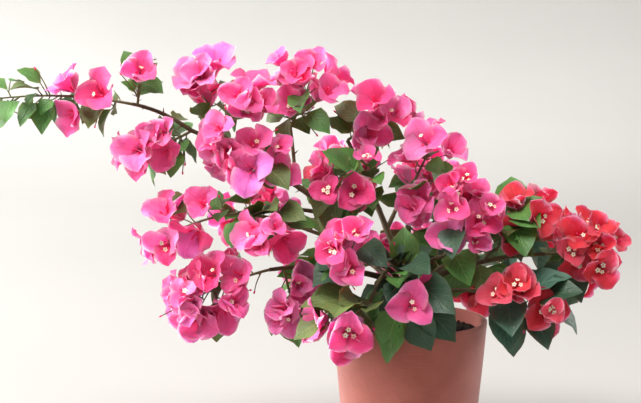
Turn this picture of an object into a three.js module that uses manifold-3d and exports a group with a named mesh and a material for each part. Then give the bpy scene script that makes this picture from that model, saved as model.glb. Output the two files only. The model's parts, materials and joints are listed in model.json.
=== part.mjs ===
// A bougainvillea bush in flower, in its round pot.
// Millimetres, +Z up. The origin is the centre of the pot's flat underside, the long arching branch
// reaches towards -X, and -Y is the side that faces the window.
import * as THREE from 'three';
import { mergeVertices } from 'three/addons/utils/BufferGeometryUtils.js';
import Module from 'manifold-3d';

const wasm = await Module();
wasm.setup();
const { Manifold, Mesh: SolidMesh } = wasm;

const vec = (x, y, z) => new THREE.Vector3(x, y, z);

// Pot
const POT_HEIGHT = 180;
const RIM_RADIUS = 100;
const FOOT_RADIUS = 83;
const POT_WALL = 6;
const POT_FLOOR = 8;
const EDGE_ROUND = 2.5;
const POT_SIDES = 40;
const GAP = 0.3;

// Soil
const SOIL_DROP = 16;
const SOIL_CROWN = 4;
const TRUNK_SEAT = 30;
const SOIL_TOP = POT_HEIGHT - SOIL_DROP + SOIL_CROWN;

// Trunk
const TRUNK_SIDES = 8;
const TRUNK_FLARE = 17;
const TRUNK_RADIUS = 8.6;
const TRUNK_TIP_RADIUS = 6.4;
const FLARED_SHARE = 0.3;
const TRUNK_TIP = [-6, 0, 236];
const TRUNK_SUNK = 4;

// Limbs: each one tapers from a place on its parent (a fraction of the parent's length) to its tip.
// The bow lifts the middle of its curve.
const LIMB_SIDES = 6;
const LIMB_RINGS = 5;
const LIMBS = [
  { name: 'arch_low', parent: 'trunk', at: 1.0,
    tip: [-128, -38, 344], bow: 18, root: 5.2, end: 3.8 },
  { name: 'arch_mid', parent: 'arch_low', at: 1.0,
    tip: [-275, -36, 424], bow: 12, root: 3.6, end: 2.7 },
  { name: 'arch_end', parent: 'arch_mid', at: 1.0,
    tip: [-349, -34, 457], bow: 10, root: 2.6, end: 2.0 },
  { name: 'peak_cane', parent: 'arch_mid', at: 0.12,
    tip: [-153, 4, 425], bow: 8, root: 2.5, end: 1.9 },
  { name: 'shoulder_cane', parent: 'arch_mid', at: 0.62,
    tip: [-238, -66, 424], bow: 3, root: 2.3, end: 1.9 },
  { name: 'mid_left_cane', parent: 'arch_low', at: 0.6,
    tip: [-216, -62, 324], bow: 20, root: 2.9, end: 2.1 },
  { name: 'low_left_cane', parent: 'trunk', at: 0.82,
    tip: [-178, -58, 253], bow: 22, root: 4.2, end: 2.4 },
  { name: 'crest_cane', parent: 'trunk', at: 0.92,
    tip: [-80, 30, 408], bow: 16, root: 4.4, end: 2.4 },
  { name: 'middle_cane', parent: 'crest_cane', at: 0.56,
    tip: [-48, -26, 348], bow: 10, root: 2.5, end: 2.0 },
  { name: 'right_crest_cane', parent: 'crest_cane', at: 0.32,
    tip: [5, 4, 358], bow: 12, root: 2.9, end: 2.0 },
  { name: 'front_cane', parent: 'trunk', at: 0.72,
    tip: [-60, -88, 264], bow: 26, root: 3.8, end: 2.2 },
  { name: 'front_low_cane', parent: 'front_cane', at: 0.45,
    tip: [-55, -106, 222], bow: 14, root: 2.5, end: 2.0 },
  { name: 'fold_cane', parent: 'trunk', at: 0.88,
    tip: [38, -56, 270], bow: 12, root: 3.5, end: 2.1 },
  { name: 'right_cane', parent: 'trunk', at: 0.74,
    tip: [170, -16, 266], bow: 22, root: 4.3, end: 2.3 },
  { name: 'right_mid_cane', parent: 'right_cane', at: 0.56,
    tip: [107, -30, 274], bow: 6, root: 2.5, end: 2.0 },
  { name: 'right_low_cane', parent: 'trunk', at: 0.5,
    tip: [108, -58, 218], bow: 26, root: 3.2, end: 2.1 },
  { name: 'back_left_cane', parent: 'trunk', at: 0.66,
    tip: [-143, 92, 286], bow: 24, root: 3.9, end: 2.3 },
  { name: 'back_cane', parent: 'trunk', at: 0.8,
    tip: [4, 104, 296], bow: 26, root: 3.9, end: 2.3 },
  { name: 'back_right_cane', parent: 'trunk', at: 0.56,
    tip: [106, 94, 254], bow: 28, root: 3.8, end: 2.3 },
  { name: 'back_low_cane', parent: 'back_left_cane', at: 0.34,
    tip: [-80, 112, 214], bow: 12, root: 2.5, end: 2.0 },
];

// Masses: each one is a stem from its bough's tip, or near it, to the tip given here, inside a space
// of the given reach round that stem, with its count of flower heads and of leaves. Where flower is
// given, the heads stay on that first share of the stem. Where near is given, the leaves' stalks have
// only that share of their length.
const MASSES = [
  { name: 'far_left_spray', bough: 'arch_end', tip: [-520, -34, 463], bow: 14, reach: 60, seed: 1632,
    blooms: 3, flower: 0.38, leaves: 13, leaf: 36, near: 0.4, hue: 'pink' },
  { name: 'left_rise_spray', bough: 'arch_end', tip: [-338, -44, 490], bow: 0, reach: 46, seed: 1961,
    blooms: 1, leaves: 3, leaf: 36, near: 0.5, hue: 'pink' },
  { name: 'left_drop_spray', bough: 'arch_mid', tip: [-341, -44, 401], bow: -8, reach: 62, seed: 426,
    blooms: 4, leaves: 4, leaf: 46, hue: 'pink' },
  { name: 'left_peak_spray', bough: 'arch_mid', tip: [-246, -34, 494], bow: 0, reach: 58, seed: 355,
    blooms: 5, leaves: 3, leaf: 48, hue: 'pink' },
  { name: 'shoulder_spray', bough: 'shoulder_cane', tip: [-181, -74, 371], bow: 8, reach: 62, seed: 374,
    blooms: 6, leaves: 3, leaf: 46, hue: 'pink' },
  { name: 'inner_peak_spray', bough: 'shoulder_cane', tip: [-204, -64, 463], bow: 0, reach: 56, seed: 153,
    blooms: 5, leaves: 3, leaf: 44, hue: 'pink' },
  { name: 'peak_spray', bough: 'peak_cane', tip: [-133, 2, 472], bow: 0, reach: 68, seed: 250,
    blooms: 7, leaves: 4, leaf: 50, hue: 'pink' },
  { name: 'left_fall_spray', bough: 'mid_left_cane', tip: [-310, -62, 294], bow: 10, reach: 60, seed: 1841,
    blooms: 6, leaves: 3, leaf: 44, hue: 'pink' },
  { name: 'middle_left_spray', bough: 'mid_left_cane', tip: [-168, -94, 306], bow: 0, reach: 60, seed: 290,
    blooms: 4, leaves: 4, leaf: 48, hue: 'pink' },
  { name: 'lower_left_spray', bough: 'low_left_cane', tip: [-268, -66, 220], bow: 6, reach: 66, seed: 122,
    blooms: 8, leaves: 2, leaf: 46, hue: 'pink' },
  { name: 'low_spray', bough: 'low_left_cane', tip: [-148, -78, 206], bow: 0, reach: 56, seed: 8,
    blooms: 3, leaves: 4, leaf: 48, hue: 'pink' },
  { name: 'front_spray', bough: 'front_cane', tip: [-82, -118, 284], bow: 0, reach: 64, seed: 1268,
    blooms: 4, leaves: 5, leaf: 56, hue: 'pink' },
  { name: 'front_low_spray', bough: 'front_low_cane', tip: [-96, -130, 198], bow: 0, reach: 62, seed: 244,
    blooms: 3, leaves: 5, leaf: 60, hue: 'pink' },
  { name: 'centre_spray', bough: 'trunk', tip: [-12, -108, 216], bow: 24, reach: 76, seed: 60,
    blooms: 2, leaves: 14, leaf: 60, hue: 'green' },
  { name: 'middle_spray', bough: 'middle_cane', tip: [-90, -56, 354], bow: 0, reach: 64, seed: 87,
    blooms: 4, leaves: 7, leaf: 56, hue: 'pink' },
  { name: 'crest_spray', bough: 'crest_cane', tip: [-26, 26, 436], bow: 6, reach: 64, seed: 119,
    blooms: 6, leaves: 4, leaf: 52, hue: 'pink' },
  { name: 'right_crest_spray', bough: 'right_crest_cane', tip: [26, 0, 402], bow: 0, reach: 62, seed: 1071,
    blooms: 4, leaves: 1, leaf: 46, hue: 'pink' },
  { name: 'bend_spray', bough: 'right_crest_cane', tip: [8, -48, 334], bow: 0, reach: 56, seed: 38,
    blooms: 3, leaves: 4, leaf: 50, hue: 'pink' },
  { name: 'fold_spray', bough: 'fold_cane', tip: [61, -66, 328], bow: 0, reach: 68, seed: 1831,
    blooms: 6, leaves: 6, leaf: 54, hue: 'pink' },
  { name: 'right_mid_spray', bough: 'right_mid_cane', tip: [134, -28, 316], bow: 0, reach: 68, seed: 1700,
    blooms: 6, leaves: 7, leaf: 58, hue: 'coral' },
  { name: 'right_end_spray', bough: 'right_cane', tip: [228, -20, 272], bow: 0, reach: 70, seed: 3127,
    blooms: 8, leaves: 5, leaf: 50, hue: 'coral' },
  { name: 'right_low_spray', bough: 'right_low_cane', tip: [152, -74, 206], bow: 0, reach: 68, seed: 131,
    blooms: 3, leaves: 9, leaf: 68, hue: 'coral' },
  { name: 'back_left_spray', bough: 'back_left_cane', tip: [-222, 104, 304], bow: 8, reach: 64, seed: 2,
    blooms: 6, leaves: 5, leaf: 56, hue: 'pink' },
  { name: 'back_rise_spray', bough: 'back_left_cane', tip: [-84, 100, 362], bow: 0, reach: 66, seed: 5,
    blooms: 5, leaves: 5, leaf: 54, hue: 'pink' },
  { name: 'back_spray', bough: 'back_cane', tip: [34, 116, 348], bow: 0, reach: 66, seed: 49,
    blooms: 6, leaves: 5, leaf: 56, hue: 'pink' },
  { name: 'back_fall_spray', bough: 'back_cane', tip: [18, 140, 228], bow: 10, reach: 64, seed: 3,
    blooms: 3, leaves: 6, leaf: 60, hue: 'pink' },
  { name: 'back_right_spray', bough: 'back_right_cane', tip: [178, 104, 282], bow: 4, reach: 66, seed: 36,
    blooms: 5, leaves: 6, leaf: 58, hue: 'coral' },
  { name: 'back_corner_spray', bough: 'back_right_cane', tip: [108, 124, 204], bow: 4, reach: 60, seed: 15,
    blooms: 2, leaves: 5, leaf: 60, hue: 'green' },
  { name: 'back_low_spray', bough: 'back_low_cane', tip: [-132, 124, 206], bow: 0, reach: 62, seed: 5,
    blooms: 2, leaves: 6, leaf: 60, hue: 'green' },
];

// Twigs: one stem for each mass, and a stalk for each leaf and flower head
const TWIG_SIDES = 3;
const STEM_RINGS = 6;
const STEM_RADIUS = 2.6;
const STEM_TIP_RADIUS = 1.9;
const STEM_START = 0.9;
const TWIG_RADIUS = 1.2;
const TRIES = 60;
const GOLDEN_TURN = Math.PI * (3 - Math.sqrt(5));
const UP = vec(0, 0, 1);
const STEEP = 0.95;

// The sides that flower heads and leaves turn to: the window, or behind the bush the room
const LIGHT = vec(-0.35, -0.75, 0.56);
const BACK_LIGHT = vec(0.15, 0.8, 0.58);
const BACK_FROM = 60;

// Flower heads: three broad bracts round one middle
const BLOOM = {
  length: 37,
  width: 0.9,
  thickness: 2.0,
  opening: 0.86,
  notch: 0.62,
  inset: 24,
  spacing: 27,
  stemShare: 0.82,
  lowest: 0.12,
  first: { back: 0.02, ahead: 1.2, spread: 0.25 },
  next: { back: -0.35, ahead: 0.3, spread: 0.35 },
  toLight: 0.6,
};

// Leaves: pointed ovals that hang from their stalks
const LEAF = {
  width: 0.62,
  thickness: 1.3,
  stalk: 12,
  spacing: 22,
  lowest: 0.08,
  highest: 0.98,
  ahead: 0.4,
  droop: 0.45,
  toSky: 0.5,
};

// What a twig, leaf or flower head keeps to: its own space, and clear of limbs and pot
const SPACE_MARGIN = 0.035;
const ITEM_CLEARANCE = 5;
const STEM_CLEARANCE = 4;
const LIMB_CLEARANCE = 2.2;
const LIMB_ROOM = 1.4;
const POT_CLEARANCE = 2.5;
const LIMB_PARTS = 10;
const STEM_PARTS = 6;
const LIMB_REACH = 2;
const STALK_TESTS = [0.45, 0.65, 0.85];

const MATERIALS = {
  pot: new THREE.MeshStandardMaterial({ color: 0xc87a68, roughness: 0.8, metalness: 0 }),
  soil: new THREE.MeshStandardMaterial({ color: 0x3a2c22, roughness: 1, metalness: 0 }),
  wood: new THREE.MeshStandardMaterial({ color: 0x6f6446, roughness: 0.85, metalness: 0 }),
  pink: new THREE.MeshStandardMaterial({ color: 0xe6498f, roughness: 0.6, metalness: 0 }),
  coral: new THREE.MeshStandardMaterial({ color: 0xd8434f, roughness: 0.6, metalness: 0 }),
  green: new THREE.MeshStandardMaterial({ color: 0x47704a, roughness: 0.5, metalness: 0 }),
};

// Random numbers from 0 to 1 that are the same for the same whole-number keys
function seeded(...keys) {
  let state = keys.reduce((sum, key) => Math.imul(sum ^ key, 2654435761) >>> 0, 2166136261);
  return () => {
    state = (state + 0x6d2b79f5) >>> 0;
    let value = Math.imul(state ^ (state >>> 15), state | 1);
    value ^= value + Math.imul(value ^ (value >>> 7), value | 61);
    return ((value ^ (value >>> 14)) >>> 0) / 4294967296;
  };
}

// Solids

function solidOf(positions, indices) {
  const vertProperties = new Float32Array(positions);
  const triVerts = new Uint32Array(indices);
  return new Manifold(new SolidMesh({ numProp: 3, vertProperties, triVerts }));
}

function largestPiece(solid) {
  const pieces = solid.decompose();
  return pieces.reduce((best, piece) => (piece.volume() > best.volume() ? piece : best));
}

function geometryOf(solid) {
  const { vertProperties, triVerts } = solid.getMesh();
  const geometry = new THREE.BufferGeometry();
  geometry.setAttribute('position', new THREE.BufferAttribute(vertProperties, 3));
  geometry.setIndex(new THREE.BufferAttribute(triVerts, 1));
  geometry.computeVertexNormals();
  return geometry;
}

// A closed tube with flat ends through the points, with one radius for each of them
function tube(points, radii, sides) {
  const positions = [];
  const indices = [];
  const last = points.length - 1;
  let side = vec(0.2, 1, 0.1);
  points.forEach((point, ring) => {
    const ahead = points[Math.min(ring + 1, last)].clone().sub(points[Math.max(ring - 1, 0)]).normalize();
    side = side.clone().addScaledVector(ahead, -side.dot(ahead)).normalize();
    const other = ahead.clone().cross(side);
    for (let corner = 0; corner < sides; corner += 1) {
      const angle = (2 * Math.PI * corner) / sides;
      const rim = point.clone();
      rim.addScaledVector(side, Math.cos(angle) * radii[ring]);
      rim.addScaledVector(other, Math.sin(angle) * radii[ring]);
      positions.push(rim.x, rim.y, rim.z);
    }
  });
  for (let ring = 0; ring < last; ring += 1) {
    for (let corner = 0; corner < sides; corner += 1) {
      const here = ring * sides + corner;
      const next = ring * sides + ((corner + 1) % sides);
      indices.push(here, next, here + sides, next, next + sides, here + sides);
    }
  }
  const top = last * sides;
  for (let corner = 1; corner < sides - 1; corner += 1) {
    indices.push(0, corner + 1, corner, top, top + corner, top + corner + 1);
  }
  return solidOf(positions, indices);
}

// Three corners round the foot of a stalk, turned as the three at its end are
function stalkFoot(node, end, ring) {
  const ahead = end.clone().sub(node).normalize();
  return ring.map((corner) => {
    const across = corner.clone().sub(end);
    across.addScaledVector(ahead, -across.dot(ahead)).normalize();
    return node.clone().addScaledVector(across, TWIG_RADIUS);
  });
}

const FOOT_FACES = [0, 2, 1];
const WALL_FACES = [0, 1, 3, 1, 4, 3, 1, 2, 4, 2, 5, 4, 2, 0, 5, 0, 3, 5];

// A leaf on its stalk: foot corners 0 to 2, end corners 3 to 5 (right, under, left), outline 6 to 10,
// raised middle 11, lowered middle 12
function leafSolid({ node, end, shape }) {
  const { ring, outline, middle, face } = shape;
  const top = middle.clone().addScaledVector(face, LEAF.thickness / 2);
  const bottom = middle.clone().addScaledVector(face, -LEAF.thickness / 2);
  const points = [...stalkFoot(node, end, ring), ...ring, ...outline, top, bottom];
  const rim = [3, 6, 7, 8, 9, 10, 5];
  const indices = [...FOOT_FACES, ...WALL_FACES, 11, 5, 3, 12, 3, 4, 12, 4, 5];
  rim.slice(1).forEach((next, index) => indices.push(11, rim[index], next, 12, next, rim[index]));
  return solidOf(points.flatMap((point) => point.toArray()), indices);
}

// A flower head on its stalk: foot corners 0 to 2, end corners 3 to 5, twelve outline points from 6,
// raised middle 18
function bloomSolid({ node, end, shape }) {
  const { ring, outline, middle, face } = shape;
  const top = middle.clone().addScaledVector(face, BLOOM.thickness / 2);
  const points = [...stalkFoot(node, end, ring), ...ring, ...outline, top];
  const indices = [...FOOT_FACES, ...WALL_FACES];
  const at = (index) => 6 + (index % 12);
  outline.forEach((point, index) => indices.push(18, at(index), at(index + 1)));
  for (let third = 0; third < 3; third += 1) {
    const here = 3 + third;
    const next = 3 + ((third + 1) % 3);
    const first = 4 * third;
    const [notch, right, tip, left, nextNotch] = [0, 1, 2, 3, 4].map((step) => at(first + step));
    indices.push(here, right, notch, here, tip, right, here, next, tip);
    indices.push(next, left, tip, next, nextNotch, left);
  }
  return solidOf(points.flatMap((point) => point.toArray()), indices);
}

// Pot and soil

const potRadius = (z) => THREE.MathUtils.lerp(FOOT_RADIUS, RIM_RADIUS, z / POT_HEIGHT);

function latheSolid(profile) {
  const geometry = new THREE.LatheGeometry(profile.map(([r, z]) => new THREE.Vector2(r, z)), POT_SIDES);
  geometry.rotateX(Math.PI / 2);
  geometry.deleteAttribute('normal');
  geometry.deleteAttribute('uv');
  return mergeVertices(geometry, 0.001);
}

function potGeometry() {
  return latheSolid([
    [0, 0],
    [FOOT_RADIUS - EDGE_ROUND, 0],
    [potRadius(EDGE_ROUND), EDGE_ROUND],
    [potRadius(POT_HEIGHT - EDGE_ROUND), POT_HEIGHT - EDGE_ROUND],
    [RIM_RADIUS - EDGE_ROUND, POT_HEIGHT],
    [RIM_RADIUS - POT_WALL + EDGE_ROUND / 2, POT_HEIGHT],
    [RIM_RADIUS - POT_WALL, POT_HEIGHT - EDGE_ROUND],
    [potRadius(POT_FLOOR) - POT_WALL, POT_FLOOR],
    [0, POT_FLOOR],
  ]);
}

function soilGeometry() {
  const low = POT_FLOOR + GAP;
  const high = POT_HEIGHT - SOIL_DROP;
  const inside = (z) => potRadius(z) - POT_WALL - 2 * GAP;
  return latheSolid([
    [0, low],
    [inside(low), low],
    [inside(high), high],
    [TRUNK_SEAT, SOIL_TOP],
    [0, SOIL_TOP],
  ]);
}

// Limbs

function curveOf(start, tip, bow) {
  const middle = start.clone().lerp(tip, 0.5).addScaledVector(UP, bow);
  return new THREE.QuadraticBezierCurve3(start, middle, tip);
}

function trunkLimb() {
  const start = vec(0, 0, SOIL_TOP - TRUNK_SUNK);
  const curve = curveOf(start, vec(...TRUNK_TIP), 0);
  const flare = (t) => (TRUNK_FLARE - TRUNK_RADIUS) * Math.max(0, 1 - t / FLARED_SHARE) ** 2;
  const radius = (t) => THREE.MathUtils.lerp(TRUNK_RADIUS, TRUNK_TIP_RADIUS, t) + flare(t);
  return { name: 'trunk', curve, radius, sides: TRUNK_SIDES };
}

function boughLimb({ name, parent, at, tip, bow, root, end }, limbs) {
  const start = limbs.get(parent).curve.getPoint(at);
  const curve = curveOf(start, vec(...tip), bow);
  const radius = (t) => THREE.MathUtils.lerp(root, end, t);
  return { name, curve, radius, sides: LIMB_SIDES };
}

// The limb's solid, or with a grown radius the space that its neighbours keep out of
function limbSolid({ curve, radius, sides }, growth = 0) {
  const steps = [...Array(LIMB_RINGS + 1).keys()].map((ring) => ring / LIMB_RINGS);
  const points = steps.map((t) => curve.getPoint(t));
  const radii = steps.map((t) => radius(t) + growth * 1.2);
  points[LIMB_RINGS].addScaledVector(curve.getTangent(1), growth);
  return tube(points, radii, sides);
}

// The limbs as short straight pieces with their radii, for measuring distances to them
function limbPieces({ curve, radius }) {
  const pieces = [];
  for (let step = 0; step < LIMB_PARTS; step += 1) {
    const from = curve.getPoint(step / LIMB_PARTS);
    const to = curve.getPoint((step + 1) / LIMB_PARTS);
    pieces.push({ line: new THREE.Line3(from, to), radius: radius(step / LIMB_PARTS) });
  }
  return pieces;
}

// The rule by which twigs, leaves and flower heads grow on a mass's stem

const nearest = vec(0, 0, 0);

function distanceTo(line, point) {
  return line.closestPointToPoint(point, true, nearest).distanceTo(point);
}

function spineOf(mass, limbs) {
  const bough = limbs.get(mass.bough);
  const start = bough.curve.getPoint(mass.side ? STEM_START : 1);
  return curveOf(start, vec(...mass.tip), mass.bow);
}

function spinePieces(spine) {
  const points = spine.getPoints(STEM_PARTS);
  return points.slice(1).map((point, index) => new THREE.Line3(points[index], point));
}

// How deep a point lies in a mass's space: 0 on its stem, 1 at its reach
function depthIn(mass, point) {
  return Math.min(...mass.pieces.map((line) => distanceTo(line, point))) / mass.reach;
}

function meets(mass, other) {
  const apart = mass.spine.getPoint(0.5).distanceTo(other.spine.getPoint(0.5));
  const stems = (mass.spine.getLength() + other.spine.getLength()) / 2;
  return apart < mass.reach + other.reach + stems;
}

function clearOfPot(point) {
  const across = Math.hypot(point.x, point.y);
  if (point.z > POT_HEIGHT + POT_CLEARANCE) return true;
  if (point.z < POT_CLEARANCE) return false;
  return across > potRadius(Math.min(point.z, POT_HEIGHT)) + POT_CLEARANCE;
}

function pointFits(point, mass) {
  const depth = depthIn(mass, point);
  if (depth > 1 || !clearOfPot(point)) return false;
  const hitsLimb = mass.nearLimbs.some(
    ({ line, radius }) => distanceTo(line, point) < radius * LIMB_ROOM + LIMB_CLEARANCE,
  );
  if (hitsLimb) return false;
  return mass.neighbours.every((other) => depth + SPACE_MARGIN < depthIn(other, point));
}

// A leaf's shape: the three corners where its stalk ends, its outline and its middle
function leafShape({ end, along, face, length }) {
  const across = along.clone().cross(face).normalize();
  const at = (s, w, h) => end.clone()
    .addScaledVector(along, s * length)
    .addScaledVector(across, w * length * LEAF.width)
    .addScaledVector(face, h * length);
  const corner = (w, h) => end.clone()
    .addScaledVector(across, w * TWIG_RADIUS)
    .addScaledVector(face, h * TWIG_RADIUS);
  const ring = [corner(0.9, 0.4), corner(0, -0.9), corner(-0.9, 0.4)];
  const outline = [
    at(0.2, 0.46, 0.06),
    at(0.62, 0.42, 0.03),
    at(1, 0, -0.06),
    at(0.62, -0.42, 0.03),
    at(0.2, -0.46, 0.06),
  ];
  const middle = at(0.42, 0, -0.01);
  return { ring, outline, middle, face, tested: testedPoints(outline, middle) };
}

// A flower head's shape: three broad bracts that open from one middle and are one at their roots
function bloomShape({ centre, facing, size, opening, spin }) {
  const ring = [];
  const outline = [];
  const back = centre.clone().addScaledVector(facing, -BLOOM.thickness / 2);
  const opened = (direction) => facing.clone()
    .multiplyScalar(Math.cos(opening))
    .addScaledVector(direction, Math.sin(opening));
  [0, 1, 2].forEach((third) => {
    const turn = spin + (third * 2 * Math.PI) / 3;
    const radial = sideways(facing, turn);
    const along = opened(radial);
    const across = facing.clone().cross(radial);
    const between = sideways(facing, turn - Math.PI / 3);
    const at = (s, w) => centre.clone()
      .addScaledVector(along, s * size)
      .addScaledVector(across, w * size * BLOOM.width);
    const notch = centre.clone().addScaledVector(opened(between), BLOOM.notch * size);
    outline.push(notch, at(0.7, -0.42), at(1, 0), at(0.7, 0.42));
    ring.push(back.clone().addScaledVector(between, TWIG_RADIUS));
  });
  return { ring, outline, middle: centre, face: facing, tested: testedPoints(outline, centre) };
}

function testedPoints(outline, middle) {
  return [middle, ...outline.flatMap((point, index) => {
    const next = outline[(index + 1) % outline.length];
    return [point, point.clone().lerp(middle, 0.5), point.clone().lerp(next, 0.5)];
  })];
}

// A direction square to the stem at the given turn round it
function sideways(ahead, turn) {
  const level = ahead.clone().cross(Math.abs(ahead.z) > STEEP ? vec(1, 0, 0) : UP).normalize();
  const other = level.clone().cross(ahead);
  return level.multiplyScalar(Math.cos(turn)).addScaledVector(other, -Math.sin(turn));
}

function wander(random, amount) {
  return vec(random() - 0.5, random() - 0.5, random() - 0.5).multiplyScalar(2 * amount);
}

function bloomCandidate(mass, index, attempt) {
  const random = seeded(mass.seed, 100 + index, attempt);
  const isFirst = index === 0;
  const { back, ahead: forward, spread } = isFirst ? BLOOM.first : BLOOM.next;
  const steps = isFirst ? 0 : index + back + 0.5 * random();
  const share = isFirst ? back : (BLOOM.stemShare * steps) / mass.blooms;
  const t = Math.max(BLOOM.lowest, (mass.flower ?? 1) * (1 - share));
  const node = mass.spine.getPoint(t);
  const ahead = mass.spine.getTangent(t);
  const outward = sideways(ahead, index * GOLDEN_TURN + mass.seed + random() * 1.5 + attempt * 0.5);
  outward.addScaledVector(ahead, forward).addScaledVector(mass.light, BLOOM.toLight).normalize();
  const outmost = (mass.reach - BLOOM.inset) * (isFirst ? spread : spread + 0.6 * random());
  const distance = outmost * (1 - attempt / (1.6 * TRIES));
  const centre = node.clone().addScaledVector(outward, distance);
  const facing = outward.clone().addScaledVector(mass.light, BLOOM.toLight);
  facing.add(wander(random, 0.25)).normalize();
  const spin = random() * 2 * Math.PI;
  const size = BLOOM.length * (0.88 + 0.24 * random());
  const opening = BLOOM.opening + 0.2 * (random() - 0.5);
  const shape = bloomShape({ centre, facing, size, opening, spin });
  return { solid: bloomSolid, node, end: centre, centre, shape };
}

function leafCandidate(mass, index, attempt) {
  const random = seeded(mass.seed, 200 + index, attempt);
  const share = (index + 0.3 + 0.5 * random()) / mass.leaves;
  const t = THREE.MathUtils.clamp(share, LEAF.lowest, LEAF.highest);
  const node = mass.spine.getPoint(t);
  const ahead = mass.spine.getTangent(t);
  const turn = index * GOLDEN_TURN + 2 * mass.seed + random() * 1.2 + attempt * 0.4;
  const outward = sideways(ahead, turn);
  const length = mass.leaf * (0.82 + 0.36 * random());
  const room = Math.max(2, mass.reach - length);
  const lean = outward.clone().addScaledVector(ahead, LEAF.ahead).normalize();
  const end = node.clone().addScaledVector(lean, (mass.near ?? 1) * (LEAF.stalk + room * random()));
  const along = lean.clone().addScaledVector(UP, -LEAF.droop - 0.5 * random());
  along.add(wander(random, 0.25)).normalize();
  const face = mass.light.clone().addScaledVector(UP, LEAF.toSky).add(wander(random, 0.35));
  face.addScaledVector(along, -face.dot(along)).normalize();
  const centre = end.clone().addScaledVector(along, length / 2);
  const shape = leafShape({ end, along, face, length });
  return { solid: leafSolid, node, end, centre, shape };
}

function touches(item, other) {
  if (other.centre.distanceTo(item.centre) > 2 * BLOOM.length + ITEM_CLEARANCE) return false;
  const isNear = (point) => other.points.some((near) => near.distanceTo(point) < ITEM_CLEARANCE);
  return item.points.some(isNear);
}

// The first candidate that keeps its distance from the others and fits into the mass's space
function place(candidate, mass, index, spacing, placed) {
  for (let attempt = 0; attempt < TRIES; attempt += 1) {
    const item = candidate(mass, index, attempt);
    const { tested } = item.shape;
    item.points = [...STALK_TESTS.map((t) => item.node.clone().lerp(item.end, t)), ...tested];
    const isNear = (other) => other.centre.distanceTo(item.centre) < spacing || touches(item, other);
    if (!placed.some(isNear)) {
      const offStem = tested.every((point) => depthIn(mass, point) * mass.reach > STEM_CLEARANCE);
      if (offStem && item.points.every((point) => pointFits(point, mass))) return item;
    }
  }
  return null;
}

function grow(mass) {
  const placed = [];
  for (let index = 0; index < mass.blooms; index += 1) {
    const bloom = place(bloomCandidate, mass, index, BLOOM.spacing, placed);
    if (bloom) placed.push(bloom);
  }
  for (let index = 0; index < mass.leaves; index += 1) {
    const leaf = place(leafCandidate, mass, index, LEAF.spacing, placed);
    if (leaf) placed.push(leaf);
  }
  return placed;
}

// Masses as solids

function stemSolid(mass, growth = 0) {
  const steps = [...Array(STEM_RINGS + 1).keys()].map((ring) => ring / STEM_RINGS);
  const points = steps.map((t) => mass.spine.getPoint(t));
  const radii = steps.map((t) => THREE.MathUtils.lerp(STEM_RADIUS, STEM_TIP_RADIUS, t) + growth * 2);
  return tube(points, radii, TWIG_SIDES);
}

function massSolid(mass, plant) {
  const pieces = [stemSolid(mass)];
  mass.items.forEach((item) => pieces.push(item.solid(item)));
  let solid = Manifold.union(pieces);
  plant.limbs.forEach((limb) => {
    solid = solid.subtract(limbSolid(limb, GAP));
  });
  const firstOnBough = plant.masses.find((other) => other.bough === mass.bough);
  if (firstOnBough !== mass) solid = solid.subtract(stemSolid(firstOnBough, GAP));
  return largestPiece(solid);
}

function buildPlant() {
  const limbs = new Map();
  const trunk = trunkLimb();
  limbs.set(trunk.name, trunk);
  LIMBS.forEach((row) => limbs.set(row.name, boughLimb(row, limbs)));
  const masses = MASSES.map((row, index) => ({
    ...row,
    side: MASSES.findIndex((other) => other.bough === row.bough) !== index,
    light: row.tip[1] > BACK_FROM ? BACK_LIGHT : LIGHT,
  }));
  masses.forEach((mass) => {
    mass.spine = spineOf(mass, limbs);
    mass.pieces = spinePieces(mass.spine);
  });
  const pieces = [...limbs.values()].flatMap(limbPieces);
  masses.forEach((mass) => {
    mass.neighbours = masses.filter((other) => other !== mass && meets(mass, other));
    mass.nearLimbs = pieces.filter(({ line }) => depthIn(mass, line.getCenter(vec(0, 0, 0))) < LIMB_REACH);
    mass.items = grow(mass);
  });
  return { limbs, masses };
}

// The object

const group = new THREE.Group();

function addMesh(name, geometry, material) {
  const mesh = new THREE.Mesh(geometry, material);
  mesh.name = name;
  group.add(mesh);
}

const plant = buildPlant();
addMesh('pot', potGeometry(), MATERIALS.pot);
addMesh('soil', soilGeometry(), MATERIALS.soil);

const earlier = [];
plant.limbs.forEach((limb) => {
  let solid = limbSolid(limb).trimByPlane([0, 0, 1], SOIL_TOP + GAP);
  earlier.forEach((other) => {
    solid = solid.subtract(limbSolid(other, GAP));
  });
  earlier.push(limb);
  addMesh(limb.name, geometryOf(largestPiece(solid)), MATERIALS.wood);
});
plant.masses.forEach((mass) => {
  addMesh(mass.name, geometryOf(massSolid(mass, plant)), MATERIALS[mass.hue]);
});

export default group;
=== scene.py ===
# %% [markdown]
# # A bougainvillea bush in a clay pot
# A garden shrub is a good lesson in how much a rule can do. A few canes are laid out one by one, and
# everything that grows on them, hundreds of twigs, leaves and papery bracts, follows one seeded rule.
# The rule is the one that the CAD source uses, written again here in Python, so that every flower head
# of the solid model is met by a real one. Finer growth then fills in between.

# %% Load the frame
import json
from math import cos, exp, hypot, pi, radians, sin, sqrt
from types import SimpleNamespace as Item

import bpy
import numpy as np
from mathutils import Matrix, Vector, noise
from numpy.linalg import norm

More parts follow.
